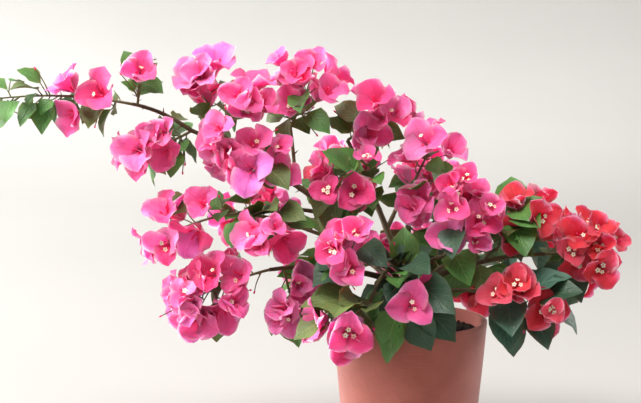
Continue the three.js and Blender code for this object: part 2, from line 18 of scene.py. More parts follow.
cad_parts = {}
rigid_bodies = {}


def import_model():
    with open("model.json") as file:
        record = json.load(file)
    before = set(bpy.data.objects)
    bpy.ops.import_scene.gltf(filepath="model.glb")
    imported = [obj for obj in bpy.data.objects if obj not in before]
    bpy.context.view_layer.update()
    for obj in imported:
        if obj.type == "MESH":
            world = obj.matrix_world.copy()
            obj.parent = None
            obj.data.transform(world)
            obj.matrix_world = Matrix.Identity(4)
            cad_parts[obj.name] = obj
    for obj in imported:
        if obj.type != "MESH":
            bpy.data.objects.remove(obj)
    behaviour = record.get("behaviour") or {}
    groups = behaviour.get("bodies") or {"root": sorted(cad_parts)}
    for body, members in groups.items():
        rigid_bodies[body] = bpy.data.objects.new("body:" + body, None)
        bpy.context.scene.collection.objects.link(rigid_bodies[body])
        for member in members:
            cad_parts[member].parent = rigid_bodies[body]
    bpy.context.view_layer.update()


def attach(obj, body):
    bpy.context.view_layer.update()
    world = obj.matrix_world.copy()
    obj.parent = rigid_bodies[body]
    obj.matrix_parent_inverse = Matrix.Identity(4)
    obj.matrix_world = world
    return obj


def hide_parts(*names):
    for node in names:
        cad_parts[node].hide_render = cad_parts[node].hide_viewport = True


for leftover in list(bpy.data.objects):
    bpy.data.objects.remove(leftover)
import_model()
MM = 0.001

# %% [markdown]
# ## Camera
# The photograph is 641 by 403 pixels. The pot's rim gives the scale and the two ellipses of its mouth
# give the tilt: the camera stands 1.6 m in front of the pot's axis, a little left of it, half a metre
# up, and looks down by 6.4 degrees.

# %% Camera
PHOTO_WIDTH = 641
FOCAL_PIXELS = 1260
SENSOR = 36.0
CAMERA_PLACE = (-0.115, -1.600, 0.511)
CAMERA_TILT = 6.4

camera_data = bpy.data.cameras.new("camera")
camera = bpy.data.objects.new("camera", camera_data)
bpy.context.scene.collection.objects.link(camera)
camera.location = CAMERA_PLACE
camera.rotation_euler = (radians(90 - CAMERA_TILT), 0, 0)
camera_data.sensor_width = SENSOR
camera_data.lens = SENSOR * FOCAL_PIXELS / PHOTO_WIDTH
camera_data.clip_end = 60
bpy.context.scene.camera = camera
print("lens in mm:", round(camera_data.lens, 1))

# %% [markdown]
# ## Colours and shared shader groups
# Colours are written as they look on a screen, from 0 to 255, and turned into the linear values that
# the shader works with. Two effects serve several materials, so each is a node group with named
# sockets: mottling, which is the uneven colour and grain of clay, bark and leaf, and veins, which
# follow each leaf's own UV map, where u runs across it and v from its stalk to its tip.


# %% Colour helper
def paint(red, green, blue):
    linear = [((c / 255 + 0.055) / 1.055) ** 2.4 for c in (red, green, blue)]
    return (*linear, 1.0)


# %% Node helpers
FLOAT, COLOUR, VECTOR = "NodeSocketFloat", "NodeSocketColor", "NodeSocketVector"


def new_group(name, inputs, outputs):
    """A node group with the sockets inside it: what it is given, and its result."""
    group = bpy.data.node_groups.new(name, "ShaderNodeTree")
    for way, sockets in (("INPUT", inputs), ("OUTPUT", outputs)):
        for label, kind in sockets.items():
            group.interface.new_socket(name=label, in_out=way, socket_type=kind)
    return group, group.nodes.new("NodeGroupInput").outputs, group.nodes.new("NodeGroupOutput").inputs


def feed(tree, socket, value):
    """Links a socket to another node's output, or sets it to a constant."""
    if isinstance(value, bpy.types.NodeSocket):
        tree.links.new(value, socket)
    else:
        socket.default_value = value


def math_node(tree, operation, *values, clamp=False):
    node = tree.nodes.new("ShaderNodeMath")
    node.operation, node.use_clamp = operation, clamp
    for socket, value in zip(node.inputs, values):
        feed(tree, socket, value)
    return node.outputs[0]


def mix_colour(tree, factor, first, second):
    node = tree.nodes.new("ShaderNodeMix")
    node.data_type = "RGBA"
    for label, value in (("Factor", factor), (6, first), (7, second)):
        feed(tree, node.inputs[label], value)
    return node.outputs[2]


def noise_node(tree, vector, scale, detail):
    node = tree.nodes.new("ShaderNodeTexNoise")
    for label, value in (("Vector", vector), ("Scale", scale), ("Detail", detail), ("Roughness", 0.6)):
        feed(tree, node.inputs[label], value)
    return node.outputs["Fac"]


# %% Mottle group
FINER = 9.0
mottle, given, result = new_group(
    "mottle", dict(Base=COLOUR, Spot=COLOUR, Scale=FLOAT, Amount=FLOAT, Stretch=VECTOR),
    dict(Color=COLOUR, Mask=FLOAT, Grain=FLOAT))
stretch = mottle.nodes.new("ShaderNodeVectorMath")
stretch.operation = "MULTIPLY"
mottle.links.new(mottle.nodes.new("ShaderNodeTexCoord").outputs["Object"], stretch.inputs[0])
mottle.links.new(given["Stretch"], stretch.inputs[1])
broad = noise_node(mottle, stretch.outputs[0], given["Scale"], 4)
fine = noise_node(mottle, stretch.outputs[0], math_node(mottle, "MULTIPLY", given["Scale"], FINER), 3)
contrast = math_node(mottle, "MULTIPLY_ADD", broad, 2.4, -0.7)
blotch = math_node(mottle, "MULTIPLY", contrast, given["Amount"], clamp=True)
mottle.links.new(mix_colour(mottle, blotch, given["Base"], given["Spot"]), result["Color"])
mottle.links.new(blotch, result["Mask"])
mottle.links.new(fine, result["Grain"])

# %% Vein group
MIDRIB_WIDTH, VEIN_END = 0.07, 1.1
veins, given, result = new_group("veins", dict(Pairs=FLOAT, Slant=FLOAT, Width=FLOAT), dict(Mask=FLOAT))
split = veins.nodes.new("ShaderNodeSeparateXYZ")
veins.links.new(veins.nodes.new("ShaderNodeTexCoord").outputs["UV"], split.inputs[0])
across = math_node(veins, "ABSOLUTE", math_node(veins, "MULTIPLY_ADD", split.outputs[0], 2.0, -1.0))
lean = math_node(veins, "MULTIPLY", across, given["Slant"])
along = math_node(veins, "SUBTRACT", split.outputs[1], lean)
rows = math_node(veins, "FRACT", math_node(veins, "MULTIPLY", along, given["Pairs"]))
to_line = math_node(veins, "ABSOLUTE", math_node(veins, "SUBTRACT", rows, 0.5))
narrow = math_node(veins, "DIVIDE", to_line, given["Width"])
side_vein = math_node(veins, "SUBTRACT", 1.0, narrow, clamp=True)
midrib = math_node(veins, "SUBTRACT", 1.0, math_node(veins, "DIVIDE", across, MIDRIB_WIDTH), clamp=True)
rim_fade = math_node(veins, "SUBTRACT", VEIN_END, across)
faded = math_node(veins, "MULTIPLY", side_vein, rim_fade, clamp=True)
veins.links.new(math_node(veins, "MAXIMUM", faded, midrib), result["Mask"])
print("shader groups:", [g.name for g in bpy.data.node_groups])


# %% Material helper
def new_material(name, roughness, **sockets):
    material = bpy.data.materials.new(name)
    material.use_nodes = True
    tree = material.node_tree
    shader = tree.nodes["Principled BSDF"]
    shader.inputs["Roughness"].default_value = roughness
    for label, value in sockets.items():
        shader.inputs[label.replace("_", " ")].default_value = value
    return material, tree, shader


def add_group(tree, group, **values):
    node = tree.nodes.new("ShaderNodeGroup")
    node.node_tree = group
    for label, value in values.items():
        node.inputs[label].default_value = value
    return node


def add_bump(tree, shader, height, distance, strength=1.0):
    bump = tree.nodes.new("ShaderNodeBump")
    bump.inputs["Distance"].default_value = distance
    bump.inputs["Strength"].default_value = strength
    tree.links.new(height, bump.inputs["Height"])
    tree.links.new(bump.outputs[0], shader.inputs["Normal"])


def mottled_material(name, base, spot, scale, amount, roughness, relief, stretch=(1, 1, 1), **sockets):
    material, tree, shader = new_material(name, roughness, **sockets)
    spots = add_group(tree, mottle, Base=paint(*base), Spot=paint(*spot), Scale=scale, Amount=amount,
                      Stretch=stretch)
    tree.links.new(spots.outputs["Color"], shader.inputs["Base Color"])
    if relief:
        add_bump(tree, shader, spots.outputs["Grain"], relief)
    return material


# %% [markdown]
# ## Materials
# Fired clay is matt and a little chalky. Young canes are olive and turn to grey-brown bark lower down.
# Bougainvillea's colour is in its bracts, thin papery leaves that glow when light passes through them,
# so they get some subsurface scattering and a soft sheen. They come in a handful of plain shades that
# are dealt out head by head, and the violet one is a painted sheen of light passing through the bracts.
# Leaves are glossier above, with paler veins, and their darkest green is painted shade.

# %% Clay, soil, bark, thorns and open flowers
clay = mottled_material("clay", (172, 97, 84), (154, 80, 70), 22, 0.8, 0.82, 0.0003,
                        Specular_IOR_Level=0.3, Sheen_Weight=0.5, Sheen_Roughness=0.5)
potting_soil = mottled_material("potting_soil", (52, 38, 29), (26, 19, 15), 90, 1.0, 0.95, 0.0012)
bark = mottled_material("bark", (112, 98, 66), (66, 55, 40), 60, 1.0, 0.85, 0.0006, (1, 1, 0.35))
green_stem = mottled_material("green_stem", (104, 112, 62), (92, 74, 50), 45, 0.8, 0.6, 0.0002)
thorn = mottled_material("thorn", (122, 104, 62), (84, 58, 40), 120, 0.8, 0.5, 0.0001)
cream = mottled_material("cream", (250, 243, 220), (236, 222, 178), 300, 0.8, 0.5, 0.0,
                         Subsurface_Weight=0.3, Subsurface_Scale=0.002)


# %% Leaves and bracts
def blade_material(name, paints, roughness, spotting, veining, vein_share, **sockets):
    """A spotted and veined blade. The paints are its base, its spots and its veins."""
    material, tree, shader = new_material(name, roughness, **sockets)
    base, spot, vein = (paint(*values) for values in paints)
    spots = add_group(tree, mottle, Base=base, Spot=spot, Stretch=(1, 1, 1), **spotting)
    lines = add_group(tree, veins, **veining)
    faint = math_node(tree, "MULTIPLY", lines.outputs["Mask"], vein_share)
    tree.links.new(mix_colour(tree, faint, spots.outputs["Color"], vein), shader.inputs["Base Color"])
    return material, tree, shader, spots.outputs["Grain"], lines.outputs["Mask"]


def leaf_material(name, roughness, *paints):
    material, tree, shader, grain, mask = blade_material(
        "leaf_" + name, paints, roughness, dict(Scale=38, Amount=0.9),
        dict(Pairs=6.0, Slant=0.42, Width=0.11), 0.55,
        Specular_IOR_Level=0.4, Subsurface_Weight=0.12, Subsurface_Scale=0.002)
    height = math_node(tree, "SUBTRACT", grain, math_node(tree, "MULTIPLY", mask, 0.8))
    add_bump(tree, shader, height, 0.0005)
    return material


def bract_material(name, *paints):
    material, tree, shader, _, mask = blade_material(
        "bract_" + name, paints, 0.62, dict(Scale=55, Amount=0.7),
        dict(Pairs=9.0, Slant=0.55, Width=0.16), 0.35,
        Specular_IOR_Level=0.22, Sheen_Weight=0.05, Sheen_Roughness=0.5,
        Subsurface_Weight=0.65, Subsurface_Scale=0.004)
    shader.inputs["Subsurface Radius"].default_value = (1.0, 0.35, 0.5)
    add_bump(tree, shader, mask, 0.0004, 0.6)
    return material


LEAF_SHADES = {name: leaf_material(name, *values) for name, *values in (
    ("mid", 0.48, (86, 138, 62), (68, 116, 54), (132, 168, 94)),
    ("olive", 0.5, (100, 118, 62), (78, 96, 50), (140, 150, 90)),
    # painted shade: a darker green for the leaves of the sprays in the shaded middle of the bush
    ("deep", 0.45, (48, 84, 58), (36, 66, 48), (84, 116, 82)),
    ("blue", 0.45, (66, 108, 88), (50, 88, 72), (104, 140, 116)))}
BRACT_SHADES = {name: bract_material(name, *values) for name, *values in (
    ("rose", (252, 100, 158), (243, 74, 136), (218, 46, 104)),
    ("candy", (252, 128, 182), (247, 100, 160), (227, 70, 129)),
    ("magenta", (240, 70, 129), (227, 52, 110), (196, 30, 83)),
    # painted light: a violet tint for the sheen of light passing through the bracts, dealt at random
    # per bract
    ("violet", (249, 124, 200), (244, 100, 178), (224, 70, 146)),
    ("scarlet", (226, 56, 66), (210, 44, 54), (172, 26, 42)),
    ("coral", (240, 82, 100), (226, 62, 84), (196, 40, 64)))}
print("materials:", len(bpy.data.materials))

# %% [markdown]
# ## The plant's plan
# These are the source's own named values, in millimetres: the trunk, the canes with the place on their
# parent where they start, and the sprays with their stem's tip and the reach round it that they fill.

# %% Plan: pot, trunk and canes
POT_HEIGHT, RIM_RADIUS, FOOT_RADIUS, POT_WALL, POT_FLOOR = 180.0, 100.0, 83.0, 6.0, 8.0
SOIL_EDGE, SOIL_TOP = 164.0, 168.0
TRUNK_TIP, TRUNK_SUNK, TRUNK_FLARE = (-6, 0, 236), 4.0, 17.0
TRUNK_RADIUS, TRUNK_TIP_RADIUS, FLARED_SHARE = 8.6, 6.4, 0.3

# name, parent, place on it, tip, bow, root radius, tip radius
LIMBS = [
    ("arch_low", "trunk", 1.0, (-128, -38, 344), 18, 5.2, 3.8),
    ("arch_mid", "arch_low", 1.0, (-275, -36, 424), 12, 3.6, 2.7),
    ("arch_end", "arch_mid", 1.0, (-349, -34, 457), 10, 2.6, 2.0),
    ("peak_cane", "arch_mid", 0.12, (-153, 4, 425), 8, 2.5, 1.9),
    ("shoulder_cane", "arch_mid", 0.62, (-238, -66, 424), 3, 2.3, 1.9),
    ("mid_left_cane", "arch_low", 0.6, (-216, -62, 324), 20, 2.9, 2.1),
    ("low_left_cane", "trunk", 0.82, (-178, -58, 253), 22, 4.2, 2.4),
    ("crest_cane", "trunk", 0.92, (-80, 30, 408), 16, 4.4, 2.4),
    ("middle_cane", "crest_cane", 0.56, (-48, -26, 348), 10, 2.5, 2.0),
    ("right_crest_cane", "crest_cane", 0.32, (5, 4, 358), 12, 2.9, 2.0),
    ("front_cane", "trunk", 0.72, (-60, -88, 264), 26, 3.8, 2.2),
    ("front_low_cane", "front_cane", 0.45, (-55, -106, 222), 14, 2.5, 2.0),
    ("fold_cane", "trunk", 0.88, (38, -56, 270), 12, 3.5, 2.1),
    ("right_cane", "trunk", 0.74, (170, -16, 266), 22, 4.3, 2.3),
    ("right_mid_cane", "right_cane", 0.56, (107, -30, 274), 6, 2.5, 2.0),
    ("right_low_cane", "trunk", 0.5, (108, -58, 218), 26, 3.2, 2.1),
    ("back_left_cane", "trunk", 0.66, (-143, 92, 286), 24, 3.9, 2.3),
    ("back_cane", "trunk", 0.8, (4, 104, 296), 26, 3.9, 2.3),
    ("back_right_cane", "trunk", 0.56, (106, 94, 254), 28, 3.8, 2.3),
    ("back_low_cane", "back_left_cane", 0.34, (-80, 112, 214), 12, 2.5, 2.0),
]

# %% Plan: sprays
# name, cane, stem tip, bow, reach, seed, heads, leaves, leaf length
SPRAYS = [
    ("far_left", "arch_end", (-520, -34, 463), 14, 60, 1632, 3, 13, 36),
    ("left_rise", "arch_end", (-338, -44, 490), 0, 46, 1961, 1, 3, 36),
    ("left_drop", "arch_mid", (-341, -44, 401), -8, 62, 426, 4, 4, 46),
    ("left_peak", "arch_mid", (-246, -34, 494), 0, 58, 355, 5, 3, 48),
    ("shoulder", "shoulder_cane", (-181, -74, 371), 8, 62, 374, 6, 3, 46),
    ("inner_peak", "shoulder_cane", (-204, -64, 463), 0, 56, 153, 5, 3, 44),
    ("peak", "peak_cane", (-133, 2, 472), 0, 68, 250, 7, 4, 50),
    ("left_fall", "mid_left_cane", (-310, -62, 294), 10, 60, 1841, 6, 3, 44),
    ("middle_left", "mid_left_cane", (-168, -94, 306), 0, 60, 290, 4, 4, 48),
    ("lower_left", "low_left_cane", (-268, -66, 220), 6, 66, 122, 8, 2, 46),
    ("low", "low_left_cane", (-148, -78, 206), 0, 56, 8, 3, 4, 48),
    ("front", "front_cane", (-82, -118, 284), 0, 64, 1268, 4, 5, 56),
    ("front_low", "front_low_cane", (-96, -130, 198), 0, 62, 244, 3, 5, 60),
    ("centre", "trunk", (-12, -108, 216), 24, 76, 60, 2, 14, 60),
    ("middle", "middle_cane", (-90, -56, 354), 0, 64, 87, 4, 7, 56),
    ("crest", "crest_cane", (-26, 26, 436), 6, 64, 119, 6, 4, 52),
    ("right_crest", "right_crest_cane", (26, 0, 402), 0, 62, 1071, 4, 1, 46),
    ("bend", "right_crest_cane", (8, -48, 334), 0, 56, 38, 3, 4, 50),
    ("fold", "fold_cane", (61, -66, 328), 0, 68, 1831, 6, 6, 54),
    ("right_mid", "right_mid_cane", (134, -28, 316), 0, 68, 1700, 6, 7, 58),
    ("right_end", "right_cane", (228, -20, 272), 0, 70, 3127, 8, 5, 50),
    ("right_low", "right_low_cane", (152, -74, 206), 0, 68, 131, 3, 9, 68),
    ("back_left", "back_left_cane", (-222, 104, 304), 8, 64, 2, 6, 5, 56),
    ("back_rise", "back_left_cane", (-84, 100, 362), 0, 66, 5, 5, 5, 54),
    ("back", "back_cane", (34, 116, 348), 0, 66, 49, 6, 5, 56),
    ("back_fall", "back_cane", (18, 140, 228), 10, 64, 3, 3, 6, 60),
    ("back_right", "back_right_cane", (178, 104, 282), 4, 66, 36, 5, 6, 58),
    ("back_corner", "back_right_cane", (108, 124, 204), 4, 60, 15, 2, 5, 60),
    ("back_low", "back_low_cane", (-132, 124, 206), 0, 62, 5, 2, 6, 60),
]
HEADS_UP_TO = {"far_left": 0.38}
LEAVES_NEAR = {"far_left": 0.4, "left_rise": 0.5}

# %% [markdown]
# ## Small tools
# The random numbers must be the same as the source's, so the same whole-number generator is written
# out. A curve is a quadratic one whose middle is lifted by its bow. The rest are a tube through points
# and a pile that gathers many small meshes into one, since thousands of objects would be slow.

# %% Vectors, random numbers and curves
UP = np.array((0.0, 0.0, 1.0))
WORD = 0xFFFFFFFF
STEP = 1e-4
ANY_TURN = 6.3


def vec(*values):
    return np.array(values, float)


def unit(vector):
    return vector / norm(vector)


def seeded(*keys):
    state = 2166136261
    for key in keys:
        state = ((state ^ key) * 2654435761) & WORD

    def draw():
        nonlocal state
        state = (state + 0x6D2B79F5) & WORD
        value = ((state ^ (state >> 15)) * (state | 1)) & WORD
        value ^= (value + (((value ^ (value >> 7)) * (value | 61)) & WORD)) & WORD
        return (value ^ (value >> 14)) / 4294967296

    return draw


class Curve:
    def __init__(self, start, tip, bow):
        self.start, self.tip = np.array(start, float), np.array(tip, float)
        self.middle = (self.start + self.tip) / 2 + UP * bow

    def point(self, t):
        return (1 - t) ** 2 * self.start + 2 * (1 - t) * t * self.middle + t * t * self.tip

    def tangent(self, t):
        return unit(self.point(min(1, t + STEP)) - self.point(max(0, t - STEP)))

    def points(self, parts):
        return np.array([self.point(i / parts) for i in range(parts + 1)])


def sideways(ahead, turn):
    level = unit(np.cross(ahead, vec(1, 0, 0) if abs(ahead[2]) > 0.95 else UP))
    other = np.cross(level, ahead)
    return level * cos(turn) - other * sin(turn)


def wander(draw, amount):
    return (vec(draw(), draw(), draw()) - 0.5) * 2 * amount


# %% Piles of small meshes
class Pile:
    """Vertices in mm, faces and UVs of many small shapes that become one mesh."""

    def __init__(self):
        self.verts, self.faces, self.uvs, self.count = [], [], [], 0

    def add(self, verts, faces, uvs=None):
        self.verts.append(verts)
        self.faces.extend([tuple(i + self.count for i in face) for face in faces])
        self.uvs.append(np.zeros((len(verts), 2)) if uvs is None else uvs)
        self.count += len(verts)

    def build(self, name, material, smooth=50):
        mesh = bpy.data.meshes.new(name)
        mesh.from_pydata(np.concatenate(self.verts) * MM, [], self.faces)
        uv = np.concatenate(self.uvs)
        corner = np.zeros(len(mesh.loops), np.int32)
        mesh.loops.foreach_get("vertex_index", corner)
        mesh.uv_layers.new(name="blade").data.foreach_set("uv", uv[corner].ravel())
        mesh.materials.append(material)
        piece = bpy.data.objects.new(name, mesh)
        bpy.context.scene.collection.objects.link(piece)
        select_only(piece)
        bpy.ops.object.shade_smooth_by_angle(angle=radians(smooth))
        mesh.calc_loop_triangles()
        print(name, len(mesh.loop_triangles), "triangles")
        return piece


def select_only(piece):
    bpy.ops.object.select_all(action="DESELECT")
    piece.select_set(True)
    bpy.context.view_layer.objects.active = piece


def tube(points, radii, sides, relief=None):
    """A closed tube with flat ends through the points."""
    ahead = np.gradient(points, axis=0)
    ahead /= norm(ahead, axis=1)[:, None]
    side = vec(0.2, 1, 0.1)
    angles = np.arange(sides) * 2 * pi / sides
    verts = []
    for ring, (point, direction, radius) in enumerate(zip(points, ahead, radii)):
        side = unit(side - direction * side.dot(direction))
        other = np.cross(direction, side)
        around = np.outer(np.cos(angles), side) + np.outer(np.sin(angles), other)
        swell = radius if relief is None else radius + relief(ring, angles)[:, None]
        verts.append(point + around * swell)
    faces = []
    for ring in range(len(points) - 1):
        low = ring * sides
        for c in range(sides):
            n = (c + 1) % sides
            faces.append((low + c, low + n, low + sides + n, low + sides + c))
    last = (len(points) - 1) * sides
    faces.append(tuple(reversed(range(sides))))
    faces.append(tuple(range(last, last + sides)))
    return np.concatenate(verts), faces


# %% [markdown]
# ## Turned shapes
# A pot is thrown or pressed on a wheel, so it is modelled as a profile that is spun. One vertex is
# extruded along the profile, from the axis out and back to the axis, and the spin operator sweeps it
# round. Merging by distance closes the seam and the poles.


# %% Spin a profile
def turned(name, profile, sides, material, smooth=40):
    bpy.ops.object.select_all(action="DESELECT")
    radius, height = profile[0]
    bpy.ops.mesh.primitive_plane_add(size=0.001, location=(radius, 0, height))
    piece = bpy.context.object
    piece.name = name
    bpy.ops.object.transform_apply()
    bpy.ops.object.mode_set(mode="EDIT")
    bpy.ops.mesh.select_all(action="SELECT")
    bpy.ops.mesh.merge(type="CENTER")
    for (r0, z0), (r1, z1) in zip(profile, profile[1:]):
        bpy.ops.mesh.extrude_vertices_move(TRANSFORM_OT_translate={"value": (r1 - r0, 0, z1 - z0)})
    bpy.ops.mesh.select_all(action="SELECT")
    bpy.ops.mesh.spin(steps=sides, angle=2 * pi, center=(0, 0, 0), axis=(0, 0, 1))
    bpy.ops.mesh.select_all(action="SELECT")
    bpy.ops.mesh.remove_doubles(threshold=1e-5)
    bpy.ops.mesh.normals_make_consistent(inside=False)
    bpy.ops.object.mode_set(mode="OBJECT")
    piece.data.materials.append(material)
    bpy.ops.object.shade_smooth_by_angle(angle=radians(smooth))
    print(name, len(piece.data.polygons), "faces")
    return piece


# %% [markdown]
# ## The pot
# The real pot is plain, tapered and matt, with fine ribs round its wall that the wheel left, a rounded
# rim and a flat foot. The ribs are real geometry: the profile steps in and out by a quarter of a
# millimetre every three. A slow wobble of a third of a millimetre takes away the look of a machined
# part.

# %% Pot
RIB_PITCH, RIB_DEPTH, GROOVE_FROM, GROOVE_TO = 3.0, 0.28, 1.2, 1.9
PLAIN_FOOT, PLAIN_TOP = 1.5, 12.0
RIM_ROUND, RIM_INSET, RIM_STEPS = 2.6, 0.2, 9
FOOT_ROUND, FOOT_HOLLOW = 2.5, 0.6
WOBBLE, WOBBLE_SCALE = 0.0035, 0.012
POT_SIDES = 144


def pot_radius(z):
    return FOOT_RADIUS + (RIM_RADIUS - FOOT_RADIUS) * z / POT_HEIGHT


def pot_profile():
    outline = [(0.0, FOOT_HOLLOW), (FOOT_RADIUS - 9, FOOT_HOLLOW), (FOOT_RADIUS - 7, 0.0)]
    outline += [(FOOT_RADIUS - FOOT_ROUND, 0.0), (pot_radius(0.8) - 0.7, 0.8)]
    outline.append((pot_radius(FOOT_ROUND), FOOT_ROUND))
    for rib in range(int((POT_HEIGHT - PLAIN_TOP - FOOT_ROUND) / RIB_PITCH)):
        low = FOOT_ROUND + PLAIN_FOOT + rib * RIB_PITCH
        outline.append((pot_radius(low), low))
        outline += [(pot_radius(low + up) - RIB_DEPTH, low + up) for up in (GROOVE_FROM, GROOVE_TO)]
    lip = POT_HEIGHT - RIM_ROUND
    outline += [(pot_radius(lip - 4), lip - 4), (RIM_RADIUS - RIM_INSET, lip)]
    thick = POT_WALL / 2
    for turn in range(1, RIM_STEPS):
        angle = pi * turn / RIM_STEPS
        radius = RIM_RADIUS - thick + (thick - RIM_INSET) * cos(angle)
        outline.append((radius, lip + RIM_ROUND * sin(angle)))
    outline += [(RIM_RADIUS - POT_WALL, lip - 1), (pot_radius(SOIL_EDGE) - POT_WALL, SOIL_EDGE)]
    outline += [(pot_radius(POT_FLOOR) - POT_WALL, POT_FLOOR), (0.0, POT_FLOOR)]
    return [(r * MM, z * MM) for r, z in outline]


pot = turned("pot_body", pot_profile(), POT_SIDES, clay)
for vertex in pot.data.vertices:
    x, y, z = vertex.co / MM
    slow = noise.noise(Vector((x, y, z)) * WOBBLE_SCALE)
    if hypot(x, y) > 10 and z > 1:
        vertex.co.x *= 1 + WOBBLE * slow
        vertex.co.y *= 1 + WOBBLE * slow
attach(pot, "root")
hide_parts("pot")

# %% [markdown]
# ## The soil
# Potting soil is a dark bed, higher round the trunk, with crumbs and lumps on it. The bed is spun and
# then roughened vertex by vertex. The crumbs are copies of one squashed icosphere of twenty faces.

# %% Soil bed
SOIL_GAP, SOIL_SUNK = 0.6, 0.6
SOIL_RINGS, SOIL_SIDES = 26, 96
LEVEL_RADIUS = 30


def soil_height(radius, x, y):
    share = max(0.0, (radius - LEVEL_RADIUS) / (pot_radius(SOIL_EDGE) - POT_WALL - LEVEL_RADIUS))
    lumps = noise.noise(Vector((x, y, 0)) * 0.09) * 1.6 + noise.noise(Vector((x, y, 9)) * 0.3) * 0.9
    return SOIL_TOP + (SOIL_EDGE - SOIL_TOP) * share + lumps - SOIL_SUNK


def soil_profile():
    wall = pot_radius(SOIL_EDGE) - POT_WALL - SOIL_GAP
    low = POT_FLOOR + 0.3
    outline = [(0.0, low), (pot_radius(low) - POT_WALL - SOIL_GAP, low)]
    outline += [(wall * (1 - ring / SOIL_RINGS), SOIL_EDGE) for ring in range(SOIL_RINGS + 1)]
    return [(r * MM, z * MM) for r, z in outline]


soil = turned("soil_bed", soil_profile(), SOIL_SIDES, potting_soil)
for vertex in soil.data.vertices:
    if vertex.co.z > (SOIL_EDGE - 1) * MM:
        x, y = vertex.co.x / MM, vertex.co.y / MM
        vertex.co.z = soil_height(hypot(x, y), x, y) * MM
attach(soil, "root")
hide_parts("soil")

# %% Soil crumbs
CRUMBS, CRUMB_EDGE = 620, 4
CRUMB_SIZE, CRUMB_SPREAD, CRUMB_ROUGH = 0.8, 2.2, 0.25
bpy.ops.object.select_all(action="DESELECT")
bpy.ops.mesh.primitive_ico_sphere_add(subdivisions=1, radius=1)
crumb = bpy.context.object
crumb_verts = np.array([v.co for v in crumb.data.vertices])
crumb_faces = [tuple(p.vertices) for p in crumb.data.polygons]
bpy.data.objects.remove(crumb)
crumbs = Pile()
draw = seeded(7, 7)
for index in range(CRUMBS):
    radius = (pot_radius(SOIL_EDGE) - POT_WALL - CRUMB_EDGE) * sqrt(draw())
    turn = draw() * 2 * pi
    x, y = radius * cos(turn), radius * sin(turn)
    size = CRUMB_SIZE + CRUMB_SPREAD * draw() ** 2
    squash = vec(1, 0.7 + 0.5 * draw(), 0.55 + 0.3 * draw())
    spin = draw() * ANY_TURN
    bumps = np.array([[draw() - 0.5] for _ in crumb_verts])
    rough = crumb_verts * size * squash * (1 + CRUMB_ROUGH * bumps)
    c, s = cos(spin), sin(spin)
    rough = rough @ np.array(((c, s, 0), (-s, c, 0), (0, 0, 1)))
    if radius > TRUNK_FLARE:
        crumbs.add(rough + vec(x, y, soil_height(radius, x, y) + 0.2 * size), crumb_faces)
crumbs_piece = crumbs.build("soil_crumbs", potting_soil, 30)
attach(crumbs_piece, "root")

# %% [markdown]
# ## Trunk and canes
# A bougainvillea's trunk is short, fluted and flared at its foot, and its canes are long and whippy.
# Each limb is a tube along the plan's curve. The bark's relief is geometry: shallow lengthwise furrows
# that wander, and a slight swelling at every leaf node. Thin canes have less of both.

# %% Limb curves
limb_curves = {"trunk": Curve((0, 0, SOIL_TOP - TRUNK_SUNK), TRUNK_TIP, 0)}
limb_radii = {"trunk": lambda t: (TRUNK_RADIUS + (TRUNK_TIP_RADIUS - TRUNK_RADIUS) * t
                                  + (TRUNK_FLARE - TRUNK_RADIUS) * max(0, 1 - t / FLARED_SHARE) ** 2)}
for name, parent, at, tip, bow, root, end in LIMBS:
    limb_curves[name] = Curve(limb_curves[parent].point(at), tip, bow)
    limb_radii[name] = lambda t, root=root, end=end: root + (end - root) * t

# %% Limbs with bark
RING_SPACING = 3.0
NODE_SPACING, NODE_WIDTH, NODE_SWELL = 26.0, 2.2, 0.1
FURROW_ROUND, FURROW_ALONG = 2.2, 0.035
FURROW_DEPTH, DEEPEST_FURROW = 0.13, 1.5
TRUNK_SIDES, CANE_SIDES = 28, 14


def furrows(name, t_of_ring, length):
    seed = sum(map(ord, name))

    def relief(ring, angles):
        t = t_of_ring[ring]
        radius = limb_radii[name](t)
        rows = []
        for angle in angles:
            x, y = cos(angle) * FURROW_ROUND, sin(angle) * FURROW_ROUND
            where = Vector((x, y, t * length * FURROW_ALONG + seed))
            rows.append(noise.noise(where) + 0.6 * noise.noise(where * 2.7))
        node = exp(-(((t * length) % NODE_SPACING - NODE_SPACING / 2) / NODE_WIDTH) ** 2)
        return np.array(rows) * min(DEEPEST_FURROW, radius * FURROW_DEPTH) + node * radius * NODE_SWELL

    return relief


limbs = Pile()
for name, curve in limb_curves.items():
    length = norm(np.diff(curve.points(40), axis=0), axis=1).sum()
    rings = max(10, int(length / RING_SPACING))
    t_of_ring = np.linspace(0, 1, rings + 1)
    sides = TRUNK_SIDES if name == "trunk" else CANE_SIDES
    radii = [limb_radii[name](t) for t in t_of_ring]
    verts, faces = tube(curve.points(rings), radii, sides, furrows(name, t_of_ring, length))
    limbs.add(verts, faces)
bark_piece = limbs.build("trunk_and_canes", bark, 60)
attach(bark_piece, "root")
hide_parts(*limb_curves)

# %% [markdown]
# ## The growing rule
# Every spray has a stem and a space of its own: a point belongs to the spray whose stem is nearest,
# measured in reaches. A flower head or a leaf is tried at up to sixty places, each given by its own
# seeded numbers, and the first place that stays inside the space, off the canes, off the pot and clear
# of what is already there is taken. This is the same rule as the source's, value for value.

